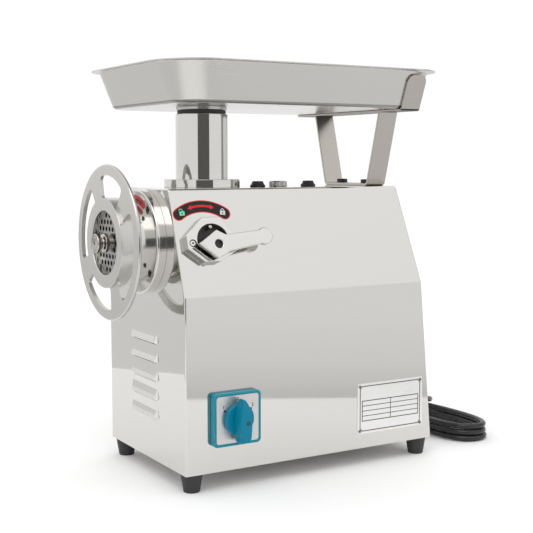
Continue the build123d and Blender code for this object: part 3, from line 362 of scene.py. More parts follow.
def plate(name, loops, low, high, place, bevel=0.0, segments=2):
    """Flat plate with that outline and those holes, between two heights, its edges rounded; mm."""
    low, high, bevel = low * MM, high * MM, bevel * MM
    curve = bpy.data.curves.new(name, "CURVE")
    curve.dimensions = "2D"
    curve.fill_mode = "BOTH"
    for loop in loops:
        spline = curve.splines.new("POLY")
        spline.points.add(len(loop) - 1)
        for point, (x, y) in zip(spline.points, scaled(loop)):
            point.co = (x, y, 0, 1)
        spline.use_cyclic_u = True
    curve.extrude = (high - low) / 2 - bevel
    curve.bevel_depth = bevel
    curve.offset = -bevel
    curve.bevel_resolution = segments
    holder = new_object(name + "_curve", curve)
    mesh = evaluated_mesh(holder)
    bpy.data.objects.remove(holder)
    mesh.transform(Matrix.Translation((0, 0, (low + high) / 2)))
    bm = bmesh.new()
    bm.from_mesh(mesh)
    bmesh.ops.remove_doubles(bm, verts=bm.verts, dist=1e-7)
    bpy.data.meshes.remove(mesh)
    return from_bmesh(name, bm, place)


def joined(name, pieces):
    """Several objects as one, in the first one's frame."""
    first = pieces[0]
    inverse = first.matrix_world.inverted()
    bm = bmesh.new()
    for piece in pieces:
        data = piece.data.copy()
        data.transform(inverse @ piece.matrix_world)
        bm.from_mesh(data)
        bpy.data.meshes.remove(data)
    mesh = bpy.data.meshes.new(name)
    bm.to_mesh(mesh)
    bm.free()
    place = first.matrix_world.copy()
    for piece in pieces:
        bpy.data.objects.remove(piece)
    return new_object(name, mesh, place)


def bevel_sharp(bm, width, angle):
    """Round the edges that turn by more than an angle in degrees, by width mm."""
    sharp = [e for e in bm.edges
             if len(e.link_faces) == 2 and e.calc_face_angle(0) > math.radians(angle)]
    bmesh.ops.bevel(bm, geom=sharp, offset=width * MM, segments=2, profile=0.6, affect="EDGES",
                    clamp_overlap=True)


def cut(piece, *cutters):
    """Take the cutters' shapes out of a piece."""
    for cutter in cutters:
        step = piece.modifiers.new("cut", "BOOLEAN")
        step.operation = "DIFFERENCE"
        step.solver = "EXACT"
        step.object = cutter
    mesh = evaluated_mesh(piece)
    piece.modifiers.clear()
    piece.data = mesh
    for cutter in cutters:
        bpy.data.objects.remove(cutter)
    return piece


def softened(piece, width, angle):
    """Round a piece's sharp edges by width mm."""
    bm = bmesh.new()
    bm.from_mesh(piece.data)
    bmesh.ops.remove_doubles(bm, verts=bm.verts, dist=1e-6)
    bevel_sharp(bm, width, angle)
    bm.to_mesh(piece.data)
    bm.free()
    return piece


def dress(piece, body, finish, slot, *nodes, smooth=35):
    """Give a new piece its material, shading, body and the CAD nodes that it stands for; slot is not used."""
    piece.data.materials.clear()
    piece.data.materials.append(MATERIALS[finish])
    piece.data.shade_smooth()
    piece.data.set_sharp_from_angle(angle=math.radians(smooth))
    even = piece.modifiers.new("even", "WEIGHTED_NORMAL")
    even.keep_sharp = True
    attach(piece, body)
    if nodes:
        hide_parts(*nodes)
    return piece


def second_finish(piece, finish, chosen):
    """Another material on the faces for which chosen(face) is true."""
    piece.data.materials.append(MATERIALS[finish])
    for face in piece.data.polygons:
        if chosen(face):
            face.material_index = 1


def refined(node, finish, slot, body="housing", bevel=0.4, smooth=30):
    """A CAD node's shape as a new piece, its flat faces whole and its sharp edges rounded by bevel mm."""
    mesh = frame["nodes"][node].data.copy()
    bm = bmesh.new()
    bm.from_mesh(mesh)
    bpy.data.meshes.remove(mesh)
    bmesh.ops.remove_doubles(bm, verts=bm.verts, dist=2e-6)
    bmesh.ops.dissolve_limit(bm, angle_limit=math.radians(0.5), verts=bm.verts, edges=bm.edges)
    if bevel:
        bevel_sharp(bm, bevel, 40)
    return dress(from_bmesh(node + "_shape", bm), body, finish, slot, node, smooth=smooth)


def carried(node, finish):
    """Give a CAD node that stays as it is its material."""
    shown = frame["nodes"][node].data.materials
    shown.clear()
    shown.append(MATERIALS[finish])


def socket_screw(name, place, radius, height, hexagon, body, slot, nodes=(), finish="black_plastic"):
    """Round-headed screw with a hexagonal socket; its head stands on the place's z = 0."""
    outline = rounded([(0, 0), (radius, 0), (radius, height), (0, height)], [0, 0.2, 0.12 * radius, 0],
                      closed=False)
    head = lathe(name, outline, place, 48)
    hole = plate(name + "_socket", [circle(hexagon, steps=6)], 0.4 * height, 2 * height, place)
    return dress(cut(head, hole), body, finish, slot, *nodes)


# ---- supply cord ----
LEAD_POINTS = [(379.375, 10, 40.530), (405.261, 10, 42.967), (430, 11, 41), (454, 19, 36),
               (471, 36, 31), (480, 59, 26)]
TAIL_POINTS = [(420, 95, 4.1), (396, 105, 5), (371, 118, 8), (347, 125, 10.1)]


def coil_points():
    """Loose long turns behind the machine, laid from the top one down."""
    made = []
    for step in range(51):
        degrees = 45 + 22.5 * step
        turn = math.radians(degrees)
        turn -= 0.35 * math.sin(2 * turn)
        end_radius = 35 + 1.3 * math.sin(0.83 * turn + 0.6)
        side = math.tanh(2.2 * math.sin(turn)) / math.tanh(2.2)
        made.append((448 + end_radius * math.cos(turn), end_radius * math.sin(turn) + 58 * side,
                     max(4.1, 20 - 8 * (degrees - 270) / 360)))
    return made


def make_cord():
    """The free cord, in the place of its three CAD solids, with its plug."""
    route = LEAD_POINTS + coil_points() + TAIL_POINTS
    curve = bpy.data.curves.new("supply_cord_line", "CURVE")
    curve.dimensions = "3D"
    spline = curve.splines.new("NURBS")
    spline.points.add(len(route) - 1)
    for point, stop in zip(spline.points, route):
        point.co = (*at(*stop), 1)
    spline.order_u = 3
    spline.use_endpoint_u = True
    spline.resolution_u = 6
    curve.bevel_depth = 4 * MM
    curve.bevel_resolution = 5
    curve.use_fill_caps = True
    curve.materials.append(MATERIALS["cord_rubber"])
    cord = new_object("supply_cord_line", curve)
    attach(cord, "housing")
    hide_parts("supply_cord", "cord_coil", "cord_tail")
    plug = make_plug()


def make_plug():
    """Moulded plug with a waisted, ribbed grip and two flat pins."""
    middle = middle_of("cord_plug")
    foot = Vector((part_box("cord_plug")[1].x, middle.y, middle.z))
    place = Matrix.Translation(foot) @ Matrix.Rotation(-math.pi / 2, 4, "Y")
    bm = bmesh.new()
    rings = []
    stations = [(0, 0.36), (0.3, 0.42), (3, 0.5), (10, 0.62), (16, 0.78), (17, 0.82), (18, 0.76), (20, 0.82),
                (21, 0.86), (22, 0.8), (24, 0.86), (25, 0.9), (26, 0.84), (28, 0.93), (31, 1.0), (40, 1.0),
                (41.6, 0.95), (42, 0.88)]
    for along, size in stations:
        outline = rounded([(-10, -13), (10, -13), (10, 13), (-10, 13)], 6, steps=6)
        rings.append([bm.verts.new((x * size * MM, y * size * MM, along * MM)) for x, y in outline])
    bridge(bm, rings, False)
    for ring in (rings[0], rings[-1]):
        bm.faces.new(ring)
    body = from_bmesh("plug_body", bm, place)
    plug = dress(body, "housing", "cord_rubber", "black_rubber", "cord_plug", smooth=50)
    for number, side in enumerate((-1, 1), start=1):
        outline = rounded([(-3.2, -0.8), (3.2, -0.8), (3.2, 0.8), (-3.2, 0.8)], 0.2)
        outline = [(x, y + side * 6.35) for x, y in outline]
        pin = plate(f"plug_pin_{number}", [outline], 41, 60, place, bevel=0.2)
        dress(pin, "housing", "brass", "bright_steel")
        pin.parent = plug
        pin.matrix_parent_inverse = Matrix.Identity(4)
        pin.matrix_world = place
    return plug


# ---- housing ----
def make_housing():
    for node in ("housing_wrap", "head_end_panel", "rear_panel"):
        refined(node, "mirror_sheet", "polished_sheet", bevel=0, smooth=14)
    carried("base_plate", "satin_sheet")
    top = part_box("base_plate")[0].z / MM
    for number in range(1, 5):
        profile = rounded([(0, 3), (5, 3), (5, 0), (9.5, 0), (12.9, top - 1), (12.9, top), (3, top),
                           (3, top + 2), (0, top + 2)], [0, 0, 1, 1.2, 1.5, 0, 0, 0, 0], closed=False)
        foot = lathe(f"rubber_foot_{number}", profile, standing(f"foot_{number}"), 64)
        dress(foot, "housing", "black_rubber", "black_rubber", f"foot_{number}")


# ---- grinding head ----
# angles in degrees from the -Y side upwards, as the spokes' are
FLANGE_SCREWS = (46.5, -40.0, 133.5, -140.0)
SCREW_CIRCLE = 53.3
HOLE_PITCH = 9.2


def make_barrel():
    profile = [(44.4, -42), (45, -41.4), (45, 122), (19, 122), (19, 114), (38, 114), (38, -27), (41.1, -27),
               (41.1, -42)]
    barrel = lathe("head_barrel", profile, HEAD_AXIS, 160)
    dress(barrel, "housing", "turned_round", "polished_sheet", "barrel")
    # painted shade: the barrel's inner faces are near-black, for the dark cavity inside the head
    second_finish(barrel, "painted_shade_steel", lambda face: face.center.xy.length < 41.5 * MM)


def make_flange():
    profile = rounded([(44.9, -12), (62.5, -12), (62.5, 0), (44.9, 0)], [0, 3.2, 0.4, 0])
    flange = lathe("mounting_flange", profile, HEAD_AXIS, 160)
    face = head_face(-12)
    spots = []
    for angle in [math.radians(a) for a in FLANGE_SCREWS]:
        spots.append(lifted(face, SCREW_CIRCLE * math.cos(angle), SCREW_CIRCLE * math.sin(angle), 0))
    cut(flange, *[lathe("pocket", [(0, -8), (4.5, -8), (4.5, 2), (0, 2)], spot, 40) for spot in spots])
    dress(softened(flange, 0.25, 50), "housing", "turned_round", "polished_sheet", "barrel_flange")
    for number, spot in enumerate(spots, start=1):
        socket_screw(f"cap_screw_{number}", lifted(spot, 0, 0, -8), 3.9, 7, 2.1, "housing", "bright_steel",
                     [f"flange_screw_{number}"], "dark_steel")


def make_cutting_plate():
    disc = plate("mincing_plate", plate_loops(), 36.1, 44.1, head_face(0), bevel=0.25, segments=1)
    dress(disc, "housing", "plate_steel", "bright_steel", "cutting_plate")


def make_auger():
    # painted shade: the knife and the auger are near-black, for the shade inside the barrel
    refined("knife", "painted_shade_steel", "bright_steel", "auger_shaft", bevel=0.3)
    refined("auger", "painted_shade_steel", "bright_steel", "auger_shaft", bevel=0)
    spool = rounded([(0, -63), (11.1, -63), (11.1, -58.8), (6.6, -57), (6.6, -54), (11.1, -52.2),
                     (11.1, -47.8), (8.0, -47.4), (8.0, -44.2), (0, -44.2)],
                    [0, 1.2, 1.2, 1.6, 1.6, 1.2, 0.8, 0.2, 0, 0], closed=False, steps=5)
    sleeve = lathe("shaft_end", spool, HEAD_AXIS, 72)
    dimple = lathe("dimple", [(0, -60.5), (2.8, -64), (0, -64)], HEAD_AXIS, 32)
    dress(cut(sleeve, dimple), "auger_shaft", "spool_steel", "bright_steel")


def plate_loops():
    """Outline, centre hole and the hexagonal pattern of small holes of the cutting plate."""
    loops = [circle(41, steps=120), circle(8.05, steps=40)]
    for row in range(-6, 7):
        for column in range(-6, 7):
            y = (column + (row % 2) / 2) * HOLE_PITCH
            z = row * HOLE_PITCH * math.sin(math.radians(60))
            if 13.05 < math.hypot(y, z) < 36:
                loops.append(circle(2.8, (-y, z), steps=20))
    return loops


SPOKES = (41.5, 114.0, 210.0, 293.0)
HALF_SPOKE = 11.8


def make_wheel():
    nut = rounded([(37.5, -51.7), (52.8, -51.7), (52.8, -48.2), (49.8, -48.2), (49.8, -44.7), (52.8, -44.7),
                   (52.8, -33.7), (45.08, -33.7), (45.08, -44.1), (37.5, -44.1)],
                  [1.4, 0.8, 0, 0, 0, 0, 1.2, 0.6, 0.3, 0.3])
    ring = lathe("clamping_nut", nut, HEAD_AXIS, 160)
    dress(ring, "ring_nut_and_wheel", "turned_steel", "bright_steel", "ring_nut")

    profile = rounded([(49.9, -48.2), (91.5, -48.2), (91.5, -43.2), (79, -43.2), (79, -44.7), (49.9, -44.7)],
                      [0, 2.6, 2.3, 0.8, 0.5, 0], steps=6)
    disc = lathe("wheel_disc", profile, HEAD_AXIS, 240)
    windows = []
    for first, last in zip(SPOKES, SPOKES[1:] + (SPOKES[0] + 360,)):
        outline = window_outline(first + HALF_SPOKE, last - HALF_SPOKE)
        windows.append(plate("window", [outline], -30, 10, head_face(-60)))
    cut(disc, *windows)
    dress(softened(disc, 0.4, 50), "ring_nut_and_wheel", "turned_steel", "bright_steel", "hand_wheel")


def window_outline(first, last):
    """One opening between two spokes, in mm, from one angle to another in degrees."""
    made = []
    for radius, start, end in ((52.9, first, last), (79.0, last, first)):
        inset = math.copysign(10, end - start)
        middle = [start + inset + (end - start - 2 * inset) * k / 16 for k in range(17)]
        made += [(radius * math.cos(a), radius * math.sin(a))
                 for a in map(math.radians, [start, *middle, end])]
    corners = {0: 4.0, 18: 4.0, 19: 6.0, 37: 6.0}
    return rounded(made, [corners.get(k, 0) for k in range(len(made))])


# ---- feed throat ----
def make_throat():
    """Tube whose lower end follows the barrel's round, and the collar at its foot."""
    top, low, barrel_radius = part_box("feed_throat")[1].z / MM, 320.0, 45.02
    profile = [(28.8, low), (31.75, low), (31.75, top - 0.6), (31.3, top), (29.3, top), (28.8, top - 0.5)]
    throat = lathe("throat_tube", profile, THROAT_AXIS, 128)
    for vertex in throat.data.vertices:
        if vertex.co.z < (low + 10) * MM:
            vertex.co.z = HEAD_Z + math.sqrt((barrel_radius * MM) ** 2 - vertex.co.y ** 2)
    dress(throat, "housing", "polished_round", "polished_sheet", "feed_throat")
    base = TOP_Z / MM
    ring = rounded([(31.7, base), (46.4, base), (46.4, base + 10), (31.7, base + 10)],
                   [0, 0.3, 0.7, 0], steps=3)
    collar = lathe("throat_collar", ring, THROAT_AXIS, 144)
    dress(collar, "housing", "polished_round", "polished_sheet", "throat_base_ring")


# ---- loading tray ----
TRAY_HALF = (166.0, 115.0)
TRAY_CORNER = 38.0
TRAY_DEPTH = 46.3
TRAY_SHEET = 1.2
TRAY_RIM = 9.5
TRAY_NECK = 30
TRAY_MIDDLE = 165.0
TRAY_HOLE = 77.8
WALL_ANGLE = math.radians(21)


def tray_ring(bm, growth, height, bottom):
    """Vertices of the tray's rounded outline, grown all round, at a height over its bottom; mm."""
    across, deep = TRAY_HALF[0] + growth, TRAY_HALF[1] + growth
    radius = TRAY_CORNER + growth
    points = []
    for quarter, (sx, sy) in enumerate(((1, 1), (-1, 1), (-1, -1), (1, -1))):
        for k in range(25):
            angle = math.pi / 2 * (quarter + k / 24)
            points.append((sx * (across - radius) + radius * math.cos(angle),
                           sy * (deep - radius) + radius * math.sin(angle)))
    return [bm.verts.new(((TRAY_MIDDLE + x) * MM, y * MM, (bottom + height) * MM)) for x, y in points]


def make_tray():
    """Pressed tray with leaning walls, a flat rim turned outwards and a neck that stands in the throat."""
    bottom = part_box("tray")[0].z / MM + TRAY_NECK
    lean, half = math.tan(WALL_ANGLE), TRAY_SHEET / 2
    shift = half / math.cos(WALL_ANGLE)
    line = rounded([(-14, half), (half * lean - shift, half),
                    ((TRAY_DEPTH - half) * lean - shift, TRAY_DEPTH - half),
                    (TRAY_DEPTH * lean + TRAY_RIM - 0.3, TRAY_DEPTH - half)], [0, 6.4, 2.6, 0],
                   closed=False, steps=8)
    bm = bmesh.new()
    rings = [tray_ring(bm, growth, height, bottom) for growth, height in thickened(line, TRAY_SHEET)]
    bridge(bm, rings, False)
    neck = [(33, TRAY_SHEET), (28.8, TRAY_SHEET), (27.2, 0.6), (26.0, -0.8), (25.6, -2.5), (25.6, -29.6),
            (26.0, -30), (28.0, -30), (28.4, -29.5), (28.4, -7.4), (27.0, -7.4), (27.0, -2.7), (30.3, -2.7),
            (30.75, -2.3), (30.75, 0), (33, 0)]
    turned = [[bm.verts.new((x * MM, y * MM, (bottom + height) * MM))
               for x, y in circle(radius, (TRAY_HOLE, 0), steps=96)] for radius, height in neck]
    bridge(bm, turned, False)
    for outer, inner in ((rings[0], turned[0]), (rings[-1], turned[-1])):
        edges = [bm.edges.get((ring[i - 1], ring[i])) for ring in (outer, inner) for i in range(len(ring))]
        bmesh.ops.triangle_fill(bm, use_beauty=True, edges=edges)
    bm.normal_update()
    place = Matrix.Translation((DATUM_X, 0, 0))
    tray = from_bmesh("pressed_tray", bm, place)
    dress(tray, "loading_tray", "tray_sheet", "brushed_sheet", "tray", smooth=40)
    # painted shade on the outer faces of the bottom bend that look down
    second_finish(tray, "tray_underside_shade", lambda face: -0.96 < face.normal.z < -0.45
                  and (bottom - 0.5) * MM < face.center.z < (bottom + 6) * MM)

    low, high = [corner.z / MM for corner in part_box("tray_o_ring")]
    ring = rounded([(27.0, low), (29.5, low), (29.5, high), (27.0, high)], 0.9)
    seal = lathe("tray_seal", ring, THROAT_AXIS, 96)
    dress(seal, "loading_tray", "black_rubber", "black_rubber", "tray_o_ring")


# ---- bracket and top fittings ----
def make_bracket():
    refined("tray_bracket", "strap_sheet", "brushed_sheet", bevel=0.5, smooth=25)
    saddle = refined("tray_saddle", "strap_sheet", "brushed_sheet", bevel=0.4, smooth=25)
    # painted shade: the saddle's faces below the tray's bottom that look down or to the front are near-black
    shade_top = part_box("tray")[0].z + (TRAY_NECK + 1) * MM
    second_finish(saddle, "painted_shade_steel", lambda face: (saddle.matrix_world @ face.center).z < shade_top
                  and (face.normal.z < -0.5 or face.normal.y < -0.5))


def make_top_fittings():
    for number in (1, 2):
        socket_screw(f"strap_screw_{number}", standing(f"bracket_screw_{number}"), 7, 5, 3, "housing",
                     "black_plastic", [f"bracket_screw_{number}"])
        profile = rounded([(0, 5.4), (3.4, 5.6), (5.2, 6.5), (6.6, 6.5), (8.3, 2.2), (9.5, 1.9), (9.5, 0),
                           (0, 0)], [0, 0.6, 0.6, 0.9, 0.5, 0.5, 0.2, 0], closed=False, steps=4)
        cap = lathe(f"rubber_cap_{number}", profile, standing(f"plug_cap_{number}"), 64)
        dress(cap, "housing", "black_rubber", "black_plastic", f"plug_cap_{number}")


def make_oil_cap():
    """Round cap with a knurled rim."""
    bm = bmesh.new()
    rings = []
    profile = ((11.2, 0), (11.6, 0.5), (11.6, 5.6), (10.9, 6.5), (8.6, 6.5), (8.0, 5.8), (3, 5.8))
    for radius, height in profile:
        ring = []
        for k in range(144):
            knurl = 0.22 if k % 3 == 0 and radius > 11.5 else 0.0
            angle = 2 * math.pi * k / 144
            ring.append(bm.verts.new(((radius - knurl) * math.cos(angle) * MM,
                                      (radius - knurl) * math.sin(angle) * MM, height * MM)))
        rings.append(ring)
    bridge(bm, rings, False)
    bm.faces.new(rings[0])
    bm.faces.new(rings[-1])
    cap = from_bmesh("oil_cap", bm, standing("oil_filler_cap"))
    dress(cap, "housing", "turned_steel", "bright_steel", "oil_filler_cap", smooth=25)


# ---- lock lever ----
GUIDE_CENTRE = (-2.7, 5.8)
GUIDE_OPENING = (2, 0.5)
SEAT = (-24, -1.5)
LEVER_TILT = 6.5


def lock_frame():
    """Frame at the lever's pivot on the sloped panel: x along the fold, y up the slope, z outwards."""
    joint = next(j for j in frame["joints"] if j["name"] == "lock_turn")
    normal = Vector(joint["axis"]).normalized()
    across = Vector((0, 0, 1)).cross(normal).normalized()
    up = normal.cross(across)
    turn = Matrix((across, up, normal)).transposed().to_4x4()
    return Matrix.Translation(Vector(joint["pos_m"])) @ turn


def make_lock_guide():
    """Eight-sided guide plate with its opening, its screw in a seat and the lever's stop pin."""
    place = lifted(lock_frame(), *GUIDE_CENTRE, 0)
    outline = rounded([(-31, 8), (-8, 28.5), (15, 28.5), (31, 8), (31, -12), (8, -23.5), (-12, -23.5),
                       (-31, -8)], 1.5, steps=4)
    opening = circle(20, GUIDE_OPENING, steps=96)
    guide = plate("guide_plate", [outline, opening], 0, 10, place, bevel=0.7, segments=3)
    seat = plate("seat", [circle(4.5, SEAT, steps=32)], 6, 20, place)
    cut(guide, seat)
    dress(guide, "housing", "bright_steel", "bright_steel", "lever_guide_plate")
    second_finish(guide, "side_steel", lambda face: abs(face.normal.z) < 0.5)
    shaft_hole = circle(9.1, (-GUIDE_CENTRE[0], -GUIDE_CENTRE[1]), steps=48)
    # painted shade: a near-black disc fills the guide's opening round the shaft
    floor = plate("guide_opening_shade", [circle(20.1, GUIDE_OPENING, steps=64), shaft_hole], 0.1, 2, place)
    dress(floor, "housing", "painted_hole_shade", "bright_steel")
    pin = rounded([(0, 0), (2.2, 0), (2.2, 12.4), (0, 12.4)], [0, 0, 1.2, 0], closed=False)
    peg = lathe("stop_peg", pin, lifted(place, 0, 16.5, 0), 40)
    dress(peg, "housing", "spool_steel", "bright_steel", "stop_pin")
    # painted shade: a near-black disc on the floor of the screw's seat
    shade = plate("seat_shade", [circle(4.4, SEAT, steps=32)], 5.9, 6.1, place)
    dress(shade, "housing", "painted_hole_shade", "bright_steel")
    socket_screw("plate_screw", lifted(place, *SEAT, 6.1), 3.4, 3.4, 1.7, "housing", "bright_steel",
                 ["guide_screw"], "bright_steel")


def make_lever():
    """Lever with its boss; it lies over the guide plate and turns about the pivot."""
    pivot = lock_frame()
    hub = rounded([(0, -30), (9, -30), (9, 2.3), (13, 2.3), (13, 13.6), (12.4, 14.2), (0, 14.2)],
                  [0, 0, 0, 0.4, 0.4, 0.4, 0], closed=False)
    dress(lathe("lever_boss", hub, pivot, 72), "lever", "dark_steel", "bright_steel", "lever_hub")
    place = pivot @ Matrix.Rotation(math.radians(LEVER_TILT), 4, "Z")
    head = rounded([(-24.5, 3.875), (1, 16.5), (11.55, 9.25), (62, 7.75), (62, -7.75), (13.2, -10.25),
                    (-4.5, -16.5)], [1.5, 1.5, 6, 0, 0, 10, 1.5], steps=5)
    arm = plate("lever_arm", [head, circle(5, steps=48)], 14.3, 21.3, place, bevel=1.0, segments=3)
    tip = rounded([(0, 14.2), (10, 14.2), (10, 21.4), (0, 21.4)], [0, 1.2, 1.6, 0], closed=False)
    end = lathe("lever_end", tip, lifted(place, 62, 0, 0), 64)
    dress(arm, "lever", "bright_steel", "bright_steel", "lock_lever")
    dress(end, "lever", "bright_steel", "bright_steel")
    # painted shade: a near-black disc down in the lever's bore
    bore_shade = plate("lever_bore_shade", [circle(4.9, steps=40)], 14.35, 17, place)
    dress(bore_shade, "lever", "painted_hole_shade", "bright_steel")


def sticker(name, place, layers, slot="printed_label", node=None):
    """Printed film in layers of (finish, outlines, height mm); the first stands for the CAD node."""
    for number, (finish, loops, height) in enumerate(layers, start=1):
        piece = plate(f"{name}_{number}", loops, 0, height, place)
        dress(piece, "housing", finish, slot, *([node] if node and number == 1 else []))


def padlock(centre, turn, size, opened):
    """Outlines of a small padlock: a body with a slot, and a shackle that may be swung open."""
    cos, sin = math.cos(turn), math.sin(turn)

    def put(points):
        return [(centre[0] + size * (x * cos - y * sin), centre[1] + size * (x * sin + y * cos))
                for x, y in points]
    body = [(-1.0, -1.3), (1.0, -1.3), (1.0, 0.2), (-1.0, 0.2)]
    shift = -0.35 if opened else 0.0
    rise = 0.45 if opened else 0.25
    arch = [(0.62 * math.cos(a), 0.62 * math.sin(a) + rise) for a in [math.pi * k / 10 for k in range(11)]]
    path = [(0.62, 0.0)] + arch + ([] if opened else [(-0.62, 0.0)])
    shackle = thickened([(x + shift, y) for x, y in path], 0.26)
    window = [(-0.22, -0.9), (0.22, -0.9), (0.22, -0.3), (-0.22, -0.3)]
    return [put(body), put(window)], [put(shackle)]


def arrow(radius, half_width, start, sweep, head, head_width):
    """Outline of a curved arrow with a head at both ends; angles in degrees."""
    def spot(r, a):
        return (r * math.cos(math.radians(a)), r * math.sin(math.radians(a)))
    inner, outer = radius - half_width, radius + half_width
    first, last = start + head, start + sweep - head
    made = [spot(radius, start), spot(radius + head_width, first), spot(outer, first)]
    made += [spot(outer, first + (last - first) * k / 12) for k in range(1, 13)]
    made += [spot(radius + head_width, last), spot(radius, start + sweep), spot(radius - head_width, last)]
    made += [spot(inner, last + (first - last) * k / 12) for k in range(13)]
    made += [spot(radius - head_width, first)]
    return made


def make_labels():
    place = lifted(lock_frame(), -4.7, -2.7, 0)
    green = padlock((-25.3, 46.4), math.radians(4), 3.3, True)
    white = padlock((27.1, 46.0), math.radians(-6), 3.3, False)
    sticker("lock_film", place, [
        ("print_red", [band(52.5, 14.5, 55.5, 69)], 0.2),
        ("print_black", [band(52.5, 12.3, 55.5, 69)], 0.27),
        ("print_red", [arrow(52.9, 1.3, 71.5, 38, 6, 3.0)], 0.34),
        ("print_green", green[0], 0.34), ("print_green", green[1], 0.34),
        ("print_white", white[0], 0.34), ("print_white", white[1], 0.34)], node="lock_label")
    sticker("flange_film", head_face(-12), [
        ("print_red", [band(50.8, 10, 61, 26)], 0.2),
        ("print_black", [arrow(50.8, 1.3, 62, 24, 7, 3.0)], 0.3)], node="direction_label")


# ---- switch and nameplate ----
def square(half_x, half_y, corner, steps=8):
    """Rounded rectangle about the origin."""
    return rounded([(-half_x, -half_y), (half_x, -half_y), (half_x, half_y), (-half_x, half_y)], corner,
                   steps=steps)


def make_switch():
    """Square bezel with the printed face plate in it."""
    place = side_frame("switch_frame")
    bezel = plate("switch_bezel", [square(31, 31, 5), square(27.9, 27.9, 3.6)], 0, 8.5, place,
                  bevel=1.3, segments=4)
    back = plate("switch_back", [square(28.6, 28.6, 3), circle(4.05)], 0, 7.4, place)
    dress(joined("switch_bezel", [bezel, back]), "housing", "teal_frame", "teal_plastic", "switch_frame")
    face = plate("switch_face", [square(27.6, 27.6, 3.4), circle(4.05)], 7.5, 8.1, place,
                 bevel=0.15, segments=1)
    dress(face, "housing", "face_metal", "face_print", "switch_face_plate")
    marks = [circle(1.3, (-17.0, 10.7), steps=20), circle(1.3, (17.4, 10.3), steps=20)]
    sticker("switch_mark", lifted(place, 0, 0, 8.05), [("print_black", marks, 0.1)], slot="face_print")
    digits = (("1", -18.6, 15.6), ("0", 0.2, 23.6), ("2", 19.6, 15.0))
    for number, (text, x, y) in enumerate(digits, start=1):
        digit = numeral(f"switch_digit_{number}", text, 5.2, lifted(place, x, y - 2.0, 8.1))
        dress(digit, "housing", "print_black", "face_print")


def make_knob():
    """Knob: a disc with a tapered grip, lofted through stations of (place along it, half width, top)."""
    place = side_frame("switch_frame")
    disc = rounded([(0, 8.8), (18.5, 8.8), (18.5, 13.6), (17.4, 14.6), (0, 14.6)], [0, 0.5, 0.8, 1.2, 0],
                   closed=False)
    knob = lathe("knob_disc", disc, place, 96)
    stations = [(-25, 4.2, 26.5), (-24, 5.4, 29.0), (-18, 6.6, 29.8), (-6, 7.5, 29.8), (4, 7.3, 29.8),
                (12, 6.0, 29.6), (18, 4.0, 28.6), (22, 2.4, 27.0), (24.4, 1.2, 24.8)]
    bm = bmesh.new()
    rings = []
    for along, half, top in stations:
        section = rounded([(-half * 1.12, 13.8), (half * 1.12, 13.8), (half, top), (-half, top)],
                          [0.2, 0.2, 1.6, 1.6], steps=5)
        rings.append([bm.verts.new((x * MM, along * MM, z * MM)) for x, z in section])
    bridge(bm, rings, False)
    bm.faces.new(rings[0])
    bm.faces.new(rings[-1])
    grip = from_bmesh("knob_grip", bm, place)
    dress(softened(grip, 0.5, 45), "knob", "teal_plastic", "teal_plastic")
    dress(knob, "knob", "teal_plastic", "teal_plastic", "switch_knob")
    socket_screw("knob_screw", lifted(place, 1.8, -1.2, 29.2), 2.4, 1.0, 1.3, "knob", "bright_steel", (),
                 "dark_steel")


def numeral(name, text, size, place):
    """One digit as a thin raised print."""
    data = bpy.data.curves.new(name, "FONT")
    data.body = text
    data.size = size * MM
    data.extrude = 0.05 * MM
    data.offset = 0.12 * MM
    data.align_x = "CENTER"
    holder = new_object(name + "_text", data)
    mesh = evaluated_mesh(holder)
    bpy.data.objects.remove(holder)
    return new_object(name, mesh, place)


def frame_line(outline, width):
    """Outline of a closed line of even width, as the outer and the inner loop."""
    loops = []
    for side in (1, -1):
        loop = []
        for i, point in enumerate(outline):
            before = Vector(point) - Vector(outline[i - 1])
            after = Vector(outline[(i + 1) % len(outline)]) - Vector(point)
            normals = [Vector((v.y, -v.x)).normalized() for v in (before, after)]
            mitre = (normals[0] + normals[1]).normalized()
            loop.append(tuple(Vector(point) + mitre * side * width / 2 / mitre.dot(normals[0])))
        loops.append(loop)
    return loops


def make_nameplate():
    """Blank plate with an engraved border and a ruled table."""
    low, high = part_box("nameplate")
    place = side_frame("nameplate")
    half_x, half_y = (high.x - low.x) / 2 / MM, (high.z - low.z) / 2 / MM
    sheet = plate("rating_plate", [square(half_x, half_y, 1.5)], 0, 0.8, place, bevel=0.2)
    dress(sheet, "housing", "plate_metal", "engraved_plate", "nameplate")
    x, y, notch = half_x - 4.0, half_y - 3.4, 3.2
    border = [(-x + notch, -y), (x - notch, -y), (x, -y + notch), (x, y - notch), (x - notch, y),
              (-x + notch, y), (-x, y - notch), (-x, -y + notch)]
    lines = [("engraving", frame_line(border, 1.2), 0.05)]
    left, right, top, step = -x + 3.2, x - 3.0, 9.6, 6.3
    middle = (left + right) / 2
    box = [(left, top - 4 * step), (right, top - 4 * step), (right, top), (left, top)]
    lines.append(("engraving", frame_line(box, 1.1), 0.05))
    thin = 0.45
    for level in [top - row * step for row in (1, 2, 3)]:
        lines.append(("engraving", [[(left, level - thin), (right, level - thin), (right, level + thin),
                                     (left, level + thin)]], 0.05))
    lines.append(("engraving", [[(middle - thin, top - 4 * step), (middle + thin, top - 4 * step),
                                 (middle + thin, top), (middle - thin, top)]], 0.06))
    sticker("plate_line", lifted(place, 0, 0, 0.78), lines, slot="engraved_plate")


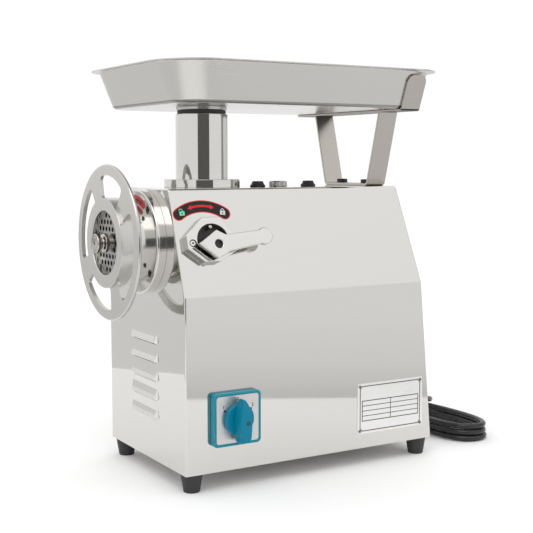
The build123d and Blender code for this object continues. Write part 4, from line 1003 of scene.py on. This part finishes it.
def make_rivets():
    """The nameplate's four low heads, each with a crossed slot."""
    for number in range(1, 5):
        node = f"nameplate_screw_{number}"
        spot = side_frame(node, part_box(node)[1].y)
        head = rounded([(0, 0), (2.2, 0), (2.1, 0.5), (1.2, 1.0), (0, 1.05)], [0, 0, 0.3, 0.6, 0],
                       closed=False)
        screw = lathe(f"plate_rivet_{number}", head, spot, 32)
        slots = [plate("slot", [square(1.5, 0.28, 0.1, 2)], 0.55, 2,
                       spot @ Matrix.Rotation(math.radians(a), 4, "Z")) for a in (20, 110)]
        dress(cut(screw, *slots), "housing", "plated_screw", "bright_steel", node)


# ---- inside and rear ----
REAR_LEAN = Vector((324, 0, 30.5))
GLAND_LENGTH = 27


def make_machine():
    for node, finish in (("gearbox_case", "machine_paint"), ("gearbox_cover", "machine_paint"),
                         ("output_gear", "gear_steel"), ("intermediate_gear", "gear_steel"),
                         ("motor_case", "machine_paint"), ("motor_rotor", "gear_steel"),
                         ("switch_body", "black_plastic"), ("run_capacitor", "black_plastic")):
        carried(node, finish)


def make_gland():
    """Nut on the leaning rear panel and the ribbed boot that the cord comes out of."""
    normal = REAR_LEAN.normalized()
    across = Vector((0, 1, 0))
    up = normal.cross(across)
    turn = Matrix((across, up, normal)).transposed().to_4x4()
    place = Matrix.Translation(at(*LEAD_POINTS[0]) - normal * GLAND_LENGTH * MM) @ turn
    profile = [(0, -5.4), (8, -5.4), (8, 0), (10.6, 0), (11, 0.5), (11, 6.4), (9.6, 8), (8.3, 8.2),
               (8.1, 9.5)]
    for rib in range(5):
        start = 10.2 + 3.1 * rib
        wide = 8.0 - 0.62 * rib
        profile += [(wide, start), (wide, start + 1.7), (wide - 0.9, start + 2.0), (wide - 0.9, start + 2.8)]
    profile += [(4.6, GLAND_LENGTH - 0.8), (4.1, GLAND_LENGTH), (0, GLAND_LENGTH)]
    gland = lathe("strain_relief", profile, place, 72)
    dress(gland, "housing", "black_rubber", "black_rubber", "cable_gland")


# ---- studio ----
KEY_LIGHT = {"place": (-0.9, -1.0, 2.2), "turn": (28, -22, 0), "side": 1.6, "power": 12.0}
# cards that only reflections see: each has its corner, its two directions, its size as the ends along the
# first and the reach along the second, and its shade by distance from the edge, all in metres; they
# stand for the darker room past the table, for someone behind the camera and for a flag at the side
STUDIO_CARDS = [
    ("room_front", (0.181, -0.485, 0.002), (0.882, 0.471, 0), (0.471, -0.882, 0), (-6, 6, 6),
     [(0.0, 0.70), (0.1, 0.79), (0.3, 0.88), (0.9, 0.95)]),
    ("room_left", (-0.41, 0.565, 0.003), (0.567, 0.824, 0), (-0.824, 0.567, 0), (-6, 6, 6),
     [(0.0, 0.82), (1.0, 0.84)]),
    ("photographer", (-1.12, -1.07, 0), (0.944, -0.330, 0), (0, 0, 1), (0, 1.27, 0.55),
     [(0.0, 0.13), (1.0, 0.10)]),
    ("room_right", (1.3, -0.45, 0), (0, 1, 0), (0, 0, 1), (0, 2.2, 0.9), [(0.0, 0.80), (0.9, 0.84)]),
    ("side_flag", (0.95, -0.42, 0), (0.309, 0.951, 0), (0, 0, 1), (0, 0.25, 0.7),
     [(0.0, 0.35), (1.0, 0.35)]),
]


def shade_ramp(nodes, links, coords, part, stops):
    """Grey by one part of the coordinates, from stops of (place, shade)."""
    split = nodes.new("ShaderNodeSeparateXYZ")
    links.new(coords, split.inputs[0])
    ramp = nodes.new("ShaderNodeValToRGB")
    links.new(split.outputs[part], ramp.inputs[0])
    made = ramp.color_ramp.elements
    for _ in range(len(stops) - 2):
        made.new(0.5)
    for stop, (place, shade) in zip(made, stops):
        stop.position = place
        stop.color = (shade, shade, shade, 1)
    return ramp.outputs[0]


def make_world():
    """Even white light from all round, a little stronger from above."""
    world = bpy.data.worlds.new("studio")
    bpy.context.scene.world = world
    world.use_nodes = True
    nodes, links = world.node_tree.nodes, world.node_tree.links
    coords = nodes.new("ShaderNodeTexCoord").outputs["Generated"]
    sky = nodes["Background"]
    links.new(shade_ramp(nodes, links, coords, 2, [(0.0, 1.0), (0.6, 1.14)]), sky.inputs["Color"])
    sky.inputs["Strength"].default_value = 1.0


def make_floor_and_lights():
    mesh = bpy.data.meshes.new("floor")
    mesh.from_pydata([(-20, -20, 0), (20, -20, 0), (20, 20, 0), (-20, 20, 0)], [], [(0, 1, 2, 3)])
    floor = new_object("floor", mesh)
    material("floor_paper", (0.92, 0.92, 0.92), 0.0, 0.8, 0.05, (40, 40, 40), 0.004, 0.02, 0.0001)
    mesh.materials.append(MATERIALS["floor_paper"])

    data = bpy.data.lights.new("key_light", "AREA")
    data.shape = "SQUARE"
    data.size = KEY_LIGHT["side"]
    data.energy = KEY_LIGHT["power"]
    light = new_object("key_light", data)
    light.location = KEY_LIGHT["place"]
    light.rotation_euler = [math.radians(a) for a in KEY_LIGHT["turn"]]


def make_cards():
    for name, corner, along, away, (low, high, depth), fade in STUDIO_CARDS:
        mesh = bpy.data.meshes.new(name)
        mesh.from_pydata([(low, 0, 0), (high, 0, 0), (high, depth, 0), (low, depth, 0)], [], [(0, 1, 2, 3)])
        turn = Matrix((along, away, Vector(along).cross(Vector(away)))).transposed().to_4x4()
        card = new_object(name, mesh, Matrix.Translation(corner) @ turn)
        tint = bpy.data.materials.new(name)
        tint.use_nodes = True
        nodes, links = tint.node_tree.nodes, tint.node_tree.links
        coords = nodes.new("ShaderNodeTexCoord").outputs["Object"]
        glow = nodes.new("ShaderNodeEmission")
        links.new(shade_ramp(nodes, links, coords, 1, fade), glow.inputs["Color"])
        links.new(glow.outputs[0], nodes["Material Output"].inputs["Surface"])
        mesh.materials.append(tint)
        card.visible_camera = False
        card.visible_diffuse = False
        card.visible_shadow = False


make_camera()
make_cord()
make_housing()
make_barrel()
make_flange()
make_cutting_plate()
make_auger()
make_wheel()
make_throat()
make_tray()
make_bracket()
make_top_fittings()
make_oil_cap()
make_lock_guide()
make_lever()
make_labels()
make_switch()
make_knob()
make_nameplate()
make_rivets()
make_machine()
make_gland()
make_world()
make_floor_and_lights()
make_cards()
bpy.context.scene.view_settings.view_transform = "Standard"
